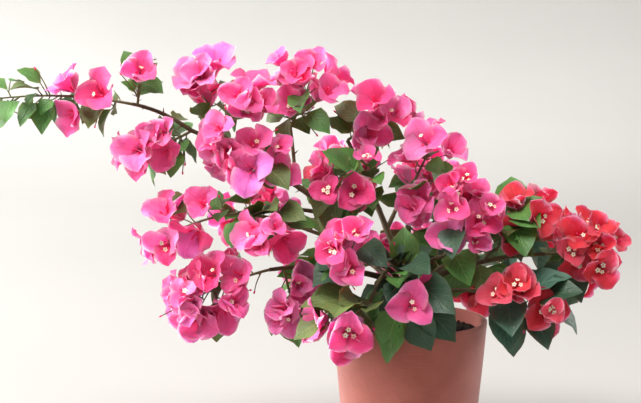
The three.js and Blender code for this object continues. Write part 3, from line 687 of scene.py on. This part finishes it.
# %% Rule: values
TRIES, GOLDEN_TURN = 60, pi * (3 - sqrt(5))
LIGHT, BACK_LIGHT, BACK_FROM = vec(-0.35, -0.75, 0.56), vec(0.15, 0.8, 0.58), 60
BRACT_LENGTH, BRACT_WIDTH, BRACT_OPENING, NOTCH = 37.0, 0.9, 0.86, 0.62
BLOOM_INSET, BLOOM_SPACING = 24.0, 27.0
LEAF_WIDTH, STALK, LEAF_SPACING = 0.62, 12.0, 22.0
SPACE_MARGIN, ITEM_CLEARANCE, STEM_CLEARANCE = 0.035, 5.0, 4.0
LIMB_CLEARANCE, LIMB_ROOM, POT_CLEARANCE, STEM_START = 2.2, 1.4, 2.5, 0.9
STALK_TESTS = (0.45, 0.65, 0.85)
BRACT_CORNERS = ((0.7, -0.42), (1, 0), (0.7, 0.42))
LEAF_CORNERS = ((0.2, 0.46, 0.06), (0.62, 0.42, 0.03), (1, 0, -0.06), (0.62, -0.42, 0.03),
                (0.2, -0.46, 0.06))


# %% Rule: spaces
class Spray:
    def __init__(self, row, first_on_cane):
        self.name, cane, tip, bow, self.reach, self.seed, self.heads, self.leaves, self.leaf = row
        self.flower, self.near = HEADS_UP_TO.get(self.name, 1.0), LEAVES_NEAR.get(self.name, 1.0)
        start = limb_curves[cane].point(1 if first_on_cane else STEM_START)
        self.stem = Curve(start, tip, bow)
        self.light = BACK_LIGHT if tip[1] > BACK_FROM else LIGHT
        self.items = []


seen = set()
sprays = []
for row in SPRAYS:
    sprays.append(Spray(row, row[1] not in seen))
    seen.add(row[1])
stem_points = np.array([spray.stem.points(6) for spray in sprays])
stem_from, stem_step = stem_points[:, :-1], np.diff(stem_points, axis=1)
reaches = np.array([spray.reach for spray in sprays], float)
limb_from, limb_step, limb_thick = [], [], []
for name, curve in limb_curves.items():
    points = curve.points(10)
    limb_from.extend(points[:-1])
    limb_step.extend(np.diff(points, axis=0))
    limb_thick.extend(limb_radii[name](i / 10) for i in range(10))
limb_from, limb_step, limb_thick = map(np.array, (limb_from, limb_step, limb_thick))


def gaps(points, starts, steps):
    """Distance from each point to each straight piece; the pieces' own axes come last."""
    offset = points.reshape((-1,) + (1,) * (starts.ndim - 1) + (3,)) - starts
    share = np.clip((offset * steps).sum(-1) / (steps * steps).sum(-1), 0, 1)
    return norm(offset - share[..., None] * steps, axis=-1)


def depths(points):
    return gaps(points, stem_from, stem_step).min(-1) / reaches


def clear_of_pot(points):
    across, z = np.hypot(points[:, 0], points[:, 1]), points[:, 2]
    beside = across > pot_radius(np.minimum(z, POT_HEIGHT)) + POT_CLEARANCE
    return (z > POT_HEIGHT + POT_CLEARANCE) | ((z >= POT_CLEARANCE) & beside)


def fits(points, tested, number, stem_clearance, margin):
    depth = depths(points)
    own = depth[:, number].copy()
    if (own > 1).any() or not clear_of_pot(points).all():
        return False
    if (own[-tested:] * sprays[number].reach <= stem_clearance).any():
        return False
    depth[:, number] = 99
    if (own[:, None] + margin >= depth).any():
        return False
    return (gaps(points, limb_from, limb_step) >= limb_thick * LIMB_ROOM + LIMB_CLEARANCE).all()


# %% Rule: shapes that are tested
def tested_points(outline, middle):
    outline = np.array(outline)
    after = np.roll(outline, -1, axis=0)
    rows = np.stack((outline, (outline + middle) / 2, (outline + after) / 2), axis=1)
    return np.vstack((middle, rows.reshape(-1, 3)))


def bloom_points(centre, facing, size, opening, spin):
    outline = []
    for third in range(3):
        turn = spin + third * 2 * pi / 3
        radial, between = sideways(facing, turn), sideways(facing, turn - pi / 3)
        along = facing * cos(opening) + radial * sin(opening)
        across = np.cross(facing, radial)
        notch = facing * cos(opening) + between * sin(opening)
        outline.append(centre + notch * NOTCH * size)
        for s, w in BRACT_CORNERS:
            outline.append(centre + along * s * size + across * w * size * BRACT_WIDTH)
    return tested_points(outline, centre)


def head_item(node, centre, facing, size, opening, spin):
    return Item(kind="bloom", node=node, end=centre, centre=centre, facing=facing, size=size,
                opening=opening, spin=spin, tested=bloom_points(centre, facing, size, opening, spin))


def leaf_points(end, along, face, length):
    across = unit(np.cross(along, face))
    at = [end + along * s * length + across * w * length * LEAF_WIDTH + face * h * length
          for s, w, h in LEAF_CORNERS]
    return tested_points(at, end + along * 0.42 * length - face * 0.01 * length)


def leaf_item(node, end, along, face, length):
    face = unit(face - along * face.dot(along))
    return Item(kind="leaf", node=node, end=end, centre=end + along * length / 2, along=along,
                face=face, length=length, tested=leaf_points(end, along, face, length))


# %% Rule: candidates
def bloom_candidate(spray, index, attempt):
    draw = seeded(spray.seed, 100 + index, attempt)
    first = index == 0
    share = 0.02 if first else 0.82 * (index - 0.35 + 0.5 * draw()) / spray.heads
    t = max(0.12, spray.flower * (1 - share))
    node, ahead = spray.stem.point(t), spray.stem.tangent(t)
    outward = sideways(ahead, index * GOLDEN_TURN + spray.seed + draw() * 1.5 + attempt * 0.5)
    outward = unit(outward + ahead * (1.2 if first else 0.3) + spray.light * 0.6)
    outmost = (spray.reach - BLOOM_INSET) * (0.25 if first else 0.35 + 0.6 * draw())
    centre = node + outward * outmost * (1 - attempt / (1.6 * TRIES))
    facing = unit(outward + spray.light * 0.6 + wander(draw, 0.25))
    spin = draw() * 2 * pi
    size = BRACT_LENGTH * (0.88 + 0.24 * draw())
    return head_item(node, centre, facing, size, BRACT_OPENING + 0.2 * (draw() - 0.5), spin)


def leaf_candidate(spray, index, attempt):
    draw = seeded(spray.seed, 200 + index, attempt)
    t = min(0.98, max(0.08, (index + 0.3 + 0.5 * draw()) / spray.leaves))
    node, ahead = spray.stem.point(t), spray.stem.tangent(t)
    outward = sideways(ahead, index * GOLDEN_TURN + 2 * spray.seed + draw() * 1.2 + attempt * 0.4)
    length = spray.leaf * (0.82 + 0.36 * draw())
    room = max(2, spray.reach - length)
    lean = unit(outward + ahead * 0.4)
    end = node + lean * spray.near * (STALK + room * draw())
    along = unit(lean - UP * (0.45 + 0.5 * draw()) + wander(draw, 0.25))
    return leaf_item(node, end, along, spray.light + UP * 0.5 + wander(draw, 0.35), length)


# %% Rule: placing
FACE_SHARE, FACE_DEPTH, NEIGHBOURHOOD = 0.6, 1.3, 130


def stands_before(points, head):
    """Whether one of the points is close in front of a flower head."""
    offset = points - head.centre
    ahead = offset @ head.facing
    aside = norm(offset - ahead[:, None] * head.facing, axis=1)
    return ((ahead > 0) & (ahead < head.size * FACE_DEPTH) & (aside < head.size * FACE_SHARE)).any()


def hides_a_face(item):
    """Whether a leaf or twig would cover a head that is there, or a head would open behind a leaf."""
    for spray in sprays:
        if norm(spray.stem.tip - item.centre) < NEIGHBOURHOOD:
            for other in spray.items:
                head, guest = (item, other) if item.kind == "bloom" else (other, item)
                if head.kind == "bloom" and guest.kind != "bloom":
                    if stands_before(guest.points, head):
                        return True
    return False


def place(candidate, number, index, spacing, clearance=ITEM_CLEARANCE, off_stem=STEM_CLEARANCE,
          margin=SPACE_MARGIN, faces_free=False):
    """Adds an item to its spray at the first of its tried places that is free, if any is."""
    spray = sprays[number]
    for attempt in range(TRIES):
        item = candidate(spray, index, attempt)
        stalk = [item.node + (item.end - item.node) * t for t in STALK_TESTS]
        item.points = np.vstack((stalk, item.tested))
        crowded = False
        for other in spray.items:
            apart = norm(other.centre - item.centre)
            if apart < spacing:
                crowded = True
            elif apart <= 2 * BRACT_LENGTH + clearance:
                between = other.points[:, None] - item.points
                crowded = (norm(between, axis=-1) < clearance).any()
            if crowded:
                break
        if crowded or (faces_free and hides_a_face(item)):
            continue
        if fits(item.points, len(item.tested), number, off_stem, margin):
            spray.items.append(item)
            return


for number, spray in enumerate(sprays):
    for index in range(spray.heads):
        place(bloom_candidate, number, index, BLOOM_SPACING)
    for index in range(spray.leaves):
        place(leaf_candidate, number, index, LEAF_SPACING)
placed = [item.kind for spray in sprays for item in spray.items]
print("as in the source:", placed.count("bloom"), "heads,", placed.count("leaf"), "leaves")

# %% [markdown]
# ## What each spray grows
# Between the big heads and leaves that the solids show, a real spray has young heads, small leaves and
# bare twigs with buds. The photograph is pink on the left and in the middle and turns to coral red on
# the right wing. So each spray also has its own mix of plain shades, and every head draws one of them.
# The darker bract mix and the darker leaf shade of the sprays in the middle of the bush are painted
# shade.

# %% What each spray grows
# name: young heads, small leaves, mix of bracts, shade of leaf, share of open flowers
LOOKS = {
    "far_left": (0, 16, "pink", "mid", 0.1),
    "left_rise": (0, 12, "pink", "mid", 0.2),
    "left_drop": (4, 9, "pink", "mid", 0.2),
    "left_peak": (3, 5, "pink", "mid", 0.1),
    "shoulder": (7, 4, "pink", "mid", 0.2),
    "inner_peak": (6, 4, "pink", "mid", 0.2),
    "peak": (5, 5, "pink", "mid", 0.2),
    "left_fall": (0, 4, "pink", "mid", 0.15),
    "middle_left": (6, 4, "pink", "mid", 0.2),
    "lower_left": (15, 3, "pink", "olive", 0.5),
    "low": (5, 3, "pink", "olive", 0.5),
    "front": (4, 10, "pink", "deep", 0.6),
    "front_low": (2, 8, "pink", "olive", 0.9),
    "centre": (0, 24, "deep", "deep", 0.9),
    "middle": (10, 10, "warm", "mid", 0.5),
    "crest": (2, 6, "pink", "mid", 0.2),
    "right_crest": (0, 3, "pink", "mid", 0.2),
    "bend": (4, 3, "deep", "deep", 0.2),
    "fold": (10, 0, "deep", "deep", 0.7),
    "right_mid": (0, 16, "red", "mid", 0.5),
    "right_end": (8, 5, "red", "deep", 0.7),
    "right_low": (5, 2, "red", "blue", 0.8),
    "back_right": (5, 8, "red", "blue", 0.2),
    "back_corner": (5, 8, "red", "mid", 0.2),
}
OTHER_LOOKS = (5, 8, "pink", "mid", 0.2)
# each shade with the drawn value up to which it is taken
MIXES = {
    "pink": (("rose", 0.56), ("candy", 0.82), ("magenta", 0.95), ("violet", 1.0)),
    # painted shade: a darker mix, heavy on magenta, for the heads in the shaded middle of the bush
    "deep": (("rose", 0.45), ("magenta", 0.85), ("candy", 1.0)),
    "red": (("scarlet", 0.55), ("coral", 0.95), ("rose", 1.0)),
    "warm": (("rose", 0.4), ("magenta", 0.7), ("coral", 0.86), ("candy", 1.0)),
}
NEXT_SHADE = {"mid": "olive", "olive": "mid", "deep": "mid", "blue": "deep"}
ROUND_LEAVES, ROUNDER = ("far_left", "left_rise", "left_drop"), 0.14
for spray in sprays:
    spray.young, spray.small, mix, spray.shade, spray.open_share = LOOKS.get(spray.name, OTHER_LOOKS)
    spray.mix = MIXES[mix]


def pick(mix, value):
    return next(name for name, up_to in mix if value <= up_to)


# %% [markdown]
# ## Finer growth
# Young heads, small leaves and twigs follow the same rule from the same stem, or from a stalk that is
# already there, inside the same space. They only come a little closer to their neighbours, and they
# keep the faces of the heads free, except in the two sprays where leaves stand in front in the photo.

# %% Finer growth: values
LEAFY = ("right_mid", "middle")
LEAF_ROOM = dict(spacing=8, clearance=2.6, off_stem=2, margin=0.005)
HEAD_ROOM = dict(spacing=12, clearance=1.8, off_stem=3, margin=0.005, faces_free=True)
TWIG_ROOM = dict(spacing=10, clearance=1.5, off_stem=5, margin=0.01, faces_free=True)
BARE_TWIGS, FROM_STALK = 3, 0.45
YOUNG_INSET, YOUNG_SIZE, YOUNG_SPREAD = 18, 0.62, 0.3
SMALL_SIZE, SMALL_SPREAD = 0.58, 0.42
SHORT_STALK, STALK_SPREAD = 5, 13


# %% Finer growth: candidates
def fork(spray, draw):
    """A place to branch from: on the stem, or on a stalk that is there already."""
    stalks = [item for item in spray.items if item.kind in ("bloom", "leaf")]
    if stalks and draw() < FROM_STALK:
        item = stalks[int(draw() * len(stalks))]
        t = 0.25 + 0.45 * draw()
        return item.node + (item.end - item.node) * t, unit(item.end - item.node)
    t = 0.08 + 0.9 * draw()
    return spray.stem.point(t), spray.stem.tangent(t)


def young_head(spray, index, attempt):
    draw = seeded(spray.seed, 300 + index, attempt)
    node, ahead = fork(spray, draw)
    outward = sideways(ahead, draw() * 2 * pi)
    outward = unit(outward + ahead * 0.5 + spray.light * 0.6)
    centre = node + outward * (spray.reach - YOUNG_INSET) * (0.3 + 0.65 * draw())
    facing = unit(outward + spray.light * 0.7 + wander(draw, 0.35))
    size = BRACT_LENGTH * (YOUNG_SIZE + YOUNG_SPREAD * draw())
    return head_item(node, centre, facing, size, 0.62 + 0.35 * draw(), draw() * 2 * pi)


def small_leaf(spray, index, attempt):
    draw = seeded(spray.seed, 400 + index, attempt)
    node, ahead = fork(spray, draw)
    outward = sideways(ahead, draw() * 2 * pi)
    length = spray.leaf * (SMALL_SIZE + SMALL_SPREAD * draw())
    lean = unit(outward + ahead * 0.5 + spray.light * 0.5)
    end = node + lean * (SHORT_STALK + STALK_SPREAD * draw())
    along = unit(lean - UP * (0.2 + 0.6 * draw()) + wander(draw, 0.3))
    return leaf_item(node, end, along, spray.light * 1.5 + UP * 0.4 + wander(draw, 0.5), length)


def bare_twig(spray, index, attempt):
    draw = seeded(spray.seed, 500 + index, attempt)
    node, ahead = fork(spray, draw)
    along = unit(sideways(ahead, draw() * 2 * pi) + ahead * 0.6 + UP * 0.3 + wander(draw, 0.3))
    end = node + along * (spray.reach * (0.35 + 0.45 * draw()))
    return Item(kind="twig", node=node, end=end, centre=end, along=along,
                tested=np.array([end, end + along * 2]))


# %% Finer growth: placing
for number, spray in enumerate(sprays):
    for index in range(spray.small):
        place(small_leaf, number, index, faces_free=spray.name not in LEAFY, **LEAF_ROOM)
    for index in range(spray.young):
        place(young_head, number, index, **HEAD_ROOM)
    for index in range(BARE_TWIGS):
        place(bare_twig, number, index, **TWIG_ROOM)
grown = [item.kind for spray in sprays for item in spray.items]
print("grown:", {kind: grown.count(kind) for kind in ("bloom", "leaf", "twig")})

# %% [markdown]
# ## One blade for leaves and bracts
# A leaf and a bract are both thin blades, so both start from a flat blank of a few dozen faces: a grid,
# duplicated and turned over, with the two sheets merged at their rim into a closed shell. Each copy is
# shaped by numbers: its outline, how far it bends along its length, how it cups or folds across, and
# how its edge ripples.

# %% Blank
TIP_ROWS = 0.1
LEAF_OUTLINE = ((0, .1), (.05, .5), (.14, .84), (.28, 1.0), (.44, .97), (.6, .82), (.74, .58),
                (.86, .31), (.94, .13), (1, .03))
BRACT_OUTLINE = ((0, .14), (.08, .4), (.18, .7), (.3, .9), (.44, 1.0), (.58, .98), (.7, .88),
                 (.82, .68), (.92, .38), (1, .03))


class Blank:
    def __init__(self, columns, rows, outline, thick, twist):
        self.outline, self.thick, self.twist = outline, thick, twist
        bpy.ops.object.select_all(action="DESELECT")
        bpy.ops.mesh.primitive_grid_add(x_subdivisions=columns, y_subdivisions=rows, size=2)
        sheet = bpy.context.object
        bpy.ops.object.mode_set(mode="EDIT")
        bpy.ops.mesh.duplicate()
        bpy.ops.mesh.flip_normals()
        bpy.ops.transform.translate(value=(0, 0, -2))
        bpy.ops.object.mode_set(mode="OBJECT")
        for vertex in sheet.data.vertices:
            on_rim = max(abs(vertex.co.x), abs(vertex.co.y)) > 0.999
            vertex.co.z = 0 if on_rim else vertex.co.z + 1
        bpy.ops.object.mode_set(mode="EDIT")
        bpy.ops.mesh.select_all(action="SELECT")
        bpy.ops.mesh.remove_doubles(threshold=1e-4)
        bpy.ops.object.mode_set(mode="OBJECT")
        across, along, self.side = np.array([v.co for v in sheet.data.vertices]).T
        along = (along + 1) / 2
        self.across, self.along = across, along + TIP_ROWS * np.sin(pi * along)
        self.faces = [tuple(p.vertices) for p in sheet.data.polygons]
        bpy.data.objects.remove(sheet)
        print("a blank of", len(self.faces), "faces")


leaf_blank = Blank(4, 6, LEAF_OUTLINE, thick=0.5, twist=0.0)
bract_blank = Blank(4, 7, BRACT_OUTLINE, thick=0.45, twist=0.2)


def blade(blank, origin, ahead, normal, length, width, bend, cup, fold, ripple, draw):
    """Shapes one copy of a blank: it starts along ahead and bends away from normal by bend radians."""
    across, along = blank.across, blank.along
    turned_by = bend * along
    run = length * np.sin(turned_by) / bend
    drop = length * (1 - np.cos(turned_by)) / bend
    side = np.cross(ahead, normal)
    local = normal * np.cos(turned_by)[:, None] + ahead * np.sin(turned_by)[:, None]
    half = np.interp(along, *zip(*blank.outline)) * width * length / 2
    edge = np.abs(across)
    phase, beats = draw() * ANY_TURN, 1.2 + 1.3 * draw()
    phase = phase + np.sign(across) * (1 + draw())
    wave = ripple * edge ** 2 * np.sin(beats * 2 * pi * along + phase)
    height = 2 * half * (cup * edge ** 2 + fold * edge * (1 - 0.5 * along) + wave * (0.3 + along))
    turn = blank.twist * (1 - 0.4 * along)
    lateral = side * np.cos(turn)[:, None] + local * np.sin(turn)[:, None]
    raised = local * np.cos(turn)[:, None] - side * np.sin(turn)[:, None]
    height = height + blank.side * blank.thick / 2
    verts = origin + ahead * run[:, None] - normal * drop[:, None]
    verts = verts + lateral * (across * half)[:, None] + raised * height[:, None]
    return verts, blank.faces, np.stack(((across + 1) / 2, along), axis=1)


# %% [markdown]
# ## Flower heads
# What looks like a flower is three broad bracts round three slender tubes. The bracts start steep, so
# they make a cup, then bend outwards, and each overlaps the next a little, as a twisted petal does. The
# true flowers are the tubes: some are open, with a cream star on top, and the rest are closed buds.

# %% The piles and two small shapes
STAR_POINTS, STAR_INNER = 10, 0.62
DIMPLE, STAR_BACK = 0.8, 1.8
bracts = {name: Pile() for name in BRACT_SHADES}
foliage = {name: Pile() for name in LEAF_SHADES}
stars, tubes, stalks, stems, thorns = Pile(), Pile(), Pile(), Pile(), Pile()


def star(centre, facing, radius, turn):
    """A five-pointed disc with a dimple, closed at the back."""
    rim = []
    for point in range(STAR_POINTS):
        spread = radius if point % 2 == 0 else radius * STAR_INNER
        rim.append(centre + sideways(facing, turn + point * 2 * pi / STAR_POINTS) * spread)
    verts = np.array(rim + [centre - facing * DIMPLE, centre - facing * STAR_BACK])
    faces = []
    for point in range(STAR_POINTS):
        after = (point + 1) % STAR_POINTS
        faces += [(STAR_POINTS, after, point), (STAR_POINTS + 1, point, after)]
    return verts, faces


def curved(start, end, sag, parts):
    middle = (start + end) / 2 + sag
    t = np.linspace(0, 1, parts + 1)[:, None]
    return (1 - t) ** 2 * start + 2 * (1 - t) * t * middle + t ** 2 * end


# %% Grow the heads
SAME_SHADE, BRACT_FOLD = 0.75, 0.08
TUBE_RADII, STALK_RADII = (0.7, 0.9, 1.1, 1.0), (0.95, 0.65)


def flower_head(spray, item, number):
    draw = seeded(spray.seed, 700 + number, 1)
    centre, facing, size = item.centre, item.facing, item.size
    own_shade = pick(spray.mix, draw())
    flare = draw()
    for third in range(3):
        turn = item.spin + third * 2 * pi / 3 + 0.3 * (draw() - 0.5)
        radial = sideways(facing, turn)
        bend = 0.7 + 0.6 * flare + 0.2 * draw()
        start = item.opening - 0.55 * bend + 0.2 * flare + 0.2 * (draw() - 0.5)
        ahead = facing * cos(start) + radial * sin(start)
        normal = facing * sin(start) - radial * cos(start)
        length = size * (0.97 + 0.14 * draw())
        shade = own_shade if draw() < SAME_SHADE else pick(spray.mix, draw())
        width, cup, ripple = 0.86 + 0.16 * draw(), 0.06 + 0.14 * draw(), 0.1 + 0.09 * draw()
        bracts[shade].add(*blade(bract_blank, centre + radial * 0.8, ahead, normal, length, width, bend,
                                 cup, BRACT_FOLD, ripple, draw))
        foot = centre + radial * 1.6
        along = unit(facing + radial * (0.16 + 0.2 * draw()))
        tip = foot + along * size * (0.36 + 0.1 * draw())
        tubes.add(*tube(curved(foot, tip, radial * 0.8, 3), TUBE_RADII, 6))
        if draw() < spray.open_share:
            stars.add(*star(tip + along * 0.6, along, 3.3 + 0.7 * draw(), draw() * ANY_TURN))


def stalk_to(item, draw):
    start, end = item.node, item.end
    length = norm(end - start)
    sag = wander(draw, 0.12 * length) - UP * 0.05 * length
    stalks.add(*tube(curved(start, end, sag, 5), np.linspace(*STALK_RADII, 6), 6))


for spray in sprays:
    for number, item in enumerate(spray.items):
        draw = seeded(spray.seed, 600 + number, 2)
        stalk_to(item, draw)
        if item.kind == "bloom":
            flower_head(spray, item, number)

# %% [markdown]
# ## Leaves
# A bougainvillea leaf is egg-shaped with a drawn-out tip. It folds a little along its midrib, droops
# towards its tip and ripples at its edge.


# %% Grow the leaves
NEXT_LEAF_SHADE, LEAF_CUP = 0.2, 0.02


def leaf_at(spray, item, number):
    draw = seeded(spray.seed, 800 + number, 3)
    shade = NEXT_SHADE[spray.shade] if draw() < NEXT_LEAF_SHADE else spray.shade
    width = 0.72 + 0.1 * draw() + (ROUNDER if spray.name in ROUND_LEAVES else 0)
    bend = 0.35 + 0.5 * draw()
    start = -0.25 * bend
    ahead = item.along * cos(start) - item.face * sin(start)
    normal = item.face * cos(start) + item.along * sin(start)
    fold, ripple = 0.1 + 0.12 * draw(), 0.05 + 0.05 * draw()
    foliage[shade].add(*blade(leaf_blank, item.end, ahead, normal, item.length * 1.02, width,
                              bend, LEAF_CUP, fold, ripple, draw))


for spray in sprays:
    for number, item in enumerate(spray.items):
        if item.kind == "leaf":
            leaf_at(spray, item, number)

# %% [markdown]
# ## Stems, buds and thorns
# Each spray's stem is a green tube that thins towards its tip. Bare twigs end in a tiny bud, and short
# thorns stand where leaves join the stem.

# %% Grow the stems
STEM_RADII, STEM_THORNS = (1.9, 0.9), 4
STEM_THORN, CANE_THORN = (0.9, 0.6, 0.35, 0.06), (1.5, 1.2, 0.6, 0.08)
BUD_PLACES, BUD_RADII = (-0.5, 1.2, 3.0, 4.6), (0.6, 1.2, 1.1, 0.2)


def add_thorn(curve, t, turn, lean, length, hook, radii):
    ahead, foot = curve.tangent(t), curve.point(t)
    out = unit(sideways(ahead, turn) + ahead * lean)
    thorns.add(*tube(curved(foot, foot + out * length, ahead * -hook, 3), radii, 6))


for spray in sprays:
    stems.add(*tube(spray.stem.points(16), np.linspace(*STEM_RADII, 17), 8))
    draw = seeded(spray.seed, 900)
    for number in range(STEM_THORNS):
        t = 0.12 + 0.8 * draw()
        add_thorn(spray.stem, t, draw() * ANY_TURN, 0.35, 6 + 4 * draw(), 0.8, STEM_THORN)
    for item in spray.items:
        if item.kind == "twig":
            places = np.array([item.end + item.along * s for s in BUD_PLACES])
            tubes.add(*tube(places, BUD_RADII, 6))

for number, (name, *_rest) in enumerate(LIMBS):
    draw = seeded(number, 950)
    curve, radius = limb_curves[name], limb_radii[name]
    length = norm(np.diff(curve.points(20), axis=0), axis=1).sum()
    for index in range(int(length / NODE_SPACING)):
        t = (index + 0.5) * NODE_SPACING / length
        turn = index * GOLDEN_TURN + number
        add_thorn(curve, t, turn, 0.3, radius(t) + 6 + 3 * draw(), 1.0, CANE_THORN)

# %% Build the joined pieces
SLOTS = {"scarlet": "blossom_coral", "coral": "blossom_coral"}
joined = [("bracts_" + name, pile, BRACT_SHADES[name], SLOTS.get(name, "blossom_pink"))
          for name, pile in bracts.items()]
joined += [("leaves_" + name, pile, LEAF_SHADES[name], "foliage") for name, pile in foliage.items()]
joined += [("star_flowers", stars, cream, "blossom_pink"),
           ("flower_tubes", tubes, BRACT_SHADES["magenta"], "blossom_pink"),
           ("stalks", stalks, green_stem, "foliage"),
           ("stems", stems, green_stem, "bark"),
           ("thorns", thorns, thorn, "bark")]
all_sprays = [spray.name + "_spray" for spray in sprays]
for name, pile, material, slot in joined:
    piece = pile.build(name, material)
    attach(piece, "root")
    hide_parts(*all_sprays)

# %% [markdown]
# ## The stage
# A plain pale floor that rises into a shallow bowl far away on all sides leaves no hard horizon. Broad
# soft light comes from the left, as from a window, with a weaker glow from the right. Four more lamps
# are aimed at the far bowl and the floor, for the soft steps of grey in the photograph's background.

# %% Floor
BOWL = [(0.0, -0.0005), (1.2, -0.0005), (1.8, 0.004), (2.4, 0.016), (3.0, 0.04), (3.6, 0.08),
        (4.2, 0.15), (5.0, 0.3), (6.0, 0.62), (7.2, 1.3), (8.4, 2.3), (9.5, 3.8)]
floor_finish = mottled_material("pale_floor", (164, 162, 159), (160, 158, 155), 1.5, 0.5, 0.9, 0.0)
floor = turned("floor", BOWL + [(9.6, 3.8), (9.6, -0.1), (0.0, -0.1)], 64, floor_finish, 60)

# %% Lights
WASH = (1.0, 0.995, 0.99)
# name, place, aim, size in metres, power in watts, colour
LIGHTS = [
    ("window", (-4.6, 0.1, 1.9), (-0.1, 0, 0.25), 2.8, 500, (1.0, 0.985, 0.97)),
    ("ceiling", (-0.8, -0.8, 2.6), (-0.1, 0, 0.3), 1.6, 86, (1.0, 0.98, 0.96)),
    ("room_glow", (3.2, 1.1, 1.0), (0.1, 0, 0.2), 1.8, 60, (1.0, 0.95, 0.93)),
    ("wall_wash", (0.6, 3.6, 3.2), (0.6, 7.5, 0.9), 3.0, 131, WASH),
    ("left_wash", (-2.6, 4.2, 2.6), (-1.6, 8.0, 1.0), 2.4, 104, WASH),
    ("floor_wash", (-2.2, 2.0, 2.8), (-1.6, 4.6, 0.0), 2.4, 109, WASH),
    ("side_wash", (-4.0, 0.1, 2.8), (-8.0, 0.1, 1.0), 3.0, 327, WASH),
]
for name, where, aim, size, power, colour in LIGHTS:
    data = bpy.data.lights.new(name, "AREA")
    data.shape, data.size, data.energy, data.color = "DISK", size, power, colour
    light = bpy.data.objects.new(name, data)
    bpy.context.scene.collection.objects.link(light)
    light.location = where
    light.rotation_euler = (Vector(aim) - Vector(where)).to_track_quat("-Z", "Y").to_euler()
    light.visible_camera = False

# %% World
WORLD_LOW, WORLD_RISE = 0.3, 0.65
FROM_BACK, FROM_LEFT, FROM_ABOVE = 0.65, 0.3, 0.35
world = bpy.data.worlds.new("studio")
bpy.context.scene.world = world
world.use_nodes = True
tree = world.node_tree
sky = tree.nodes["Background"]
sky.inputs["Color"].default_value = paint(250, 248, 245)
direction = tree.nodes.new("ShaderNodeSeparateXYZ")
tree.links.new(tree.nodes.new("ShaderNodeTexCoord").outputs["Generated"], direction.inputs[0])
backwards = math_node(tree, "MULTIPLY_ADD", direction.outputs[1], FROM_BACK, FROM_ABOVE)
leftwards = math_node(tree, "MULTIPLY", direction.outputs[0], FROM_LEFT)
share = math_node(tree, "MAXIMUM", math_node(tree, "SUBTRACT", backwards, leftwards), 0.0)
brightness = math_node(tree, "MULTIPLY_ADD", share, WORLD_RISE, WORLD_LOW)
tree.links.new(brightness, sky.inputs["Strength"])
bpy.context.scene.view_settings.view_transform = "Standard"
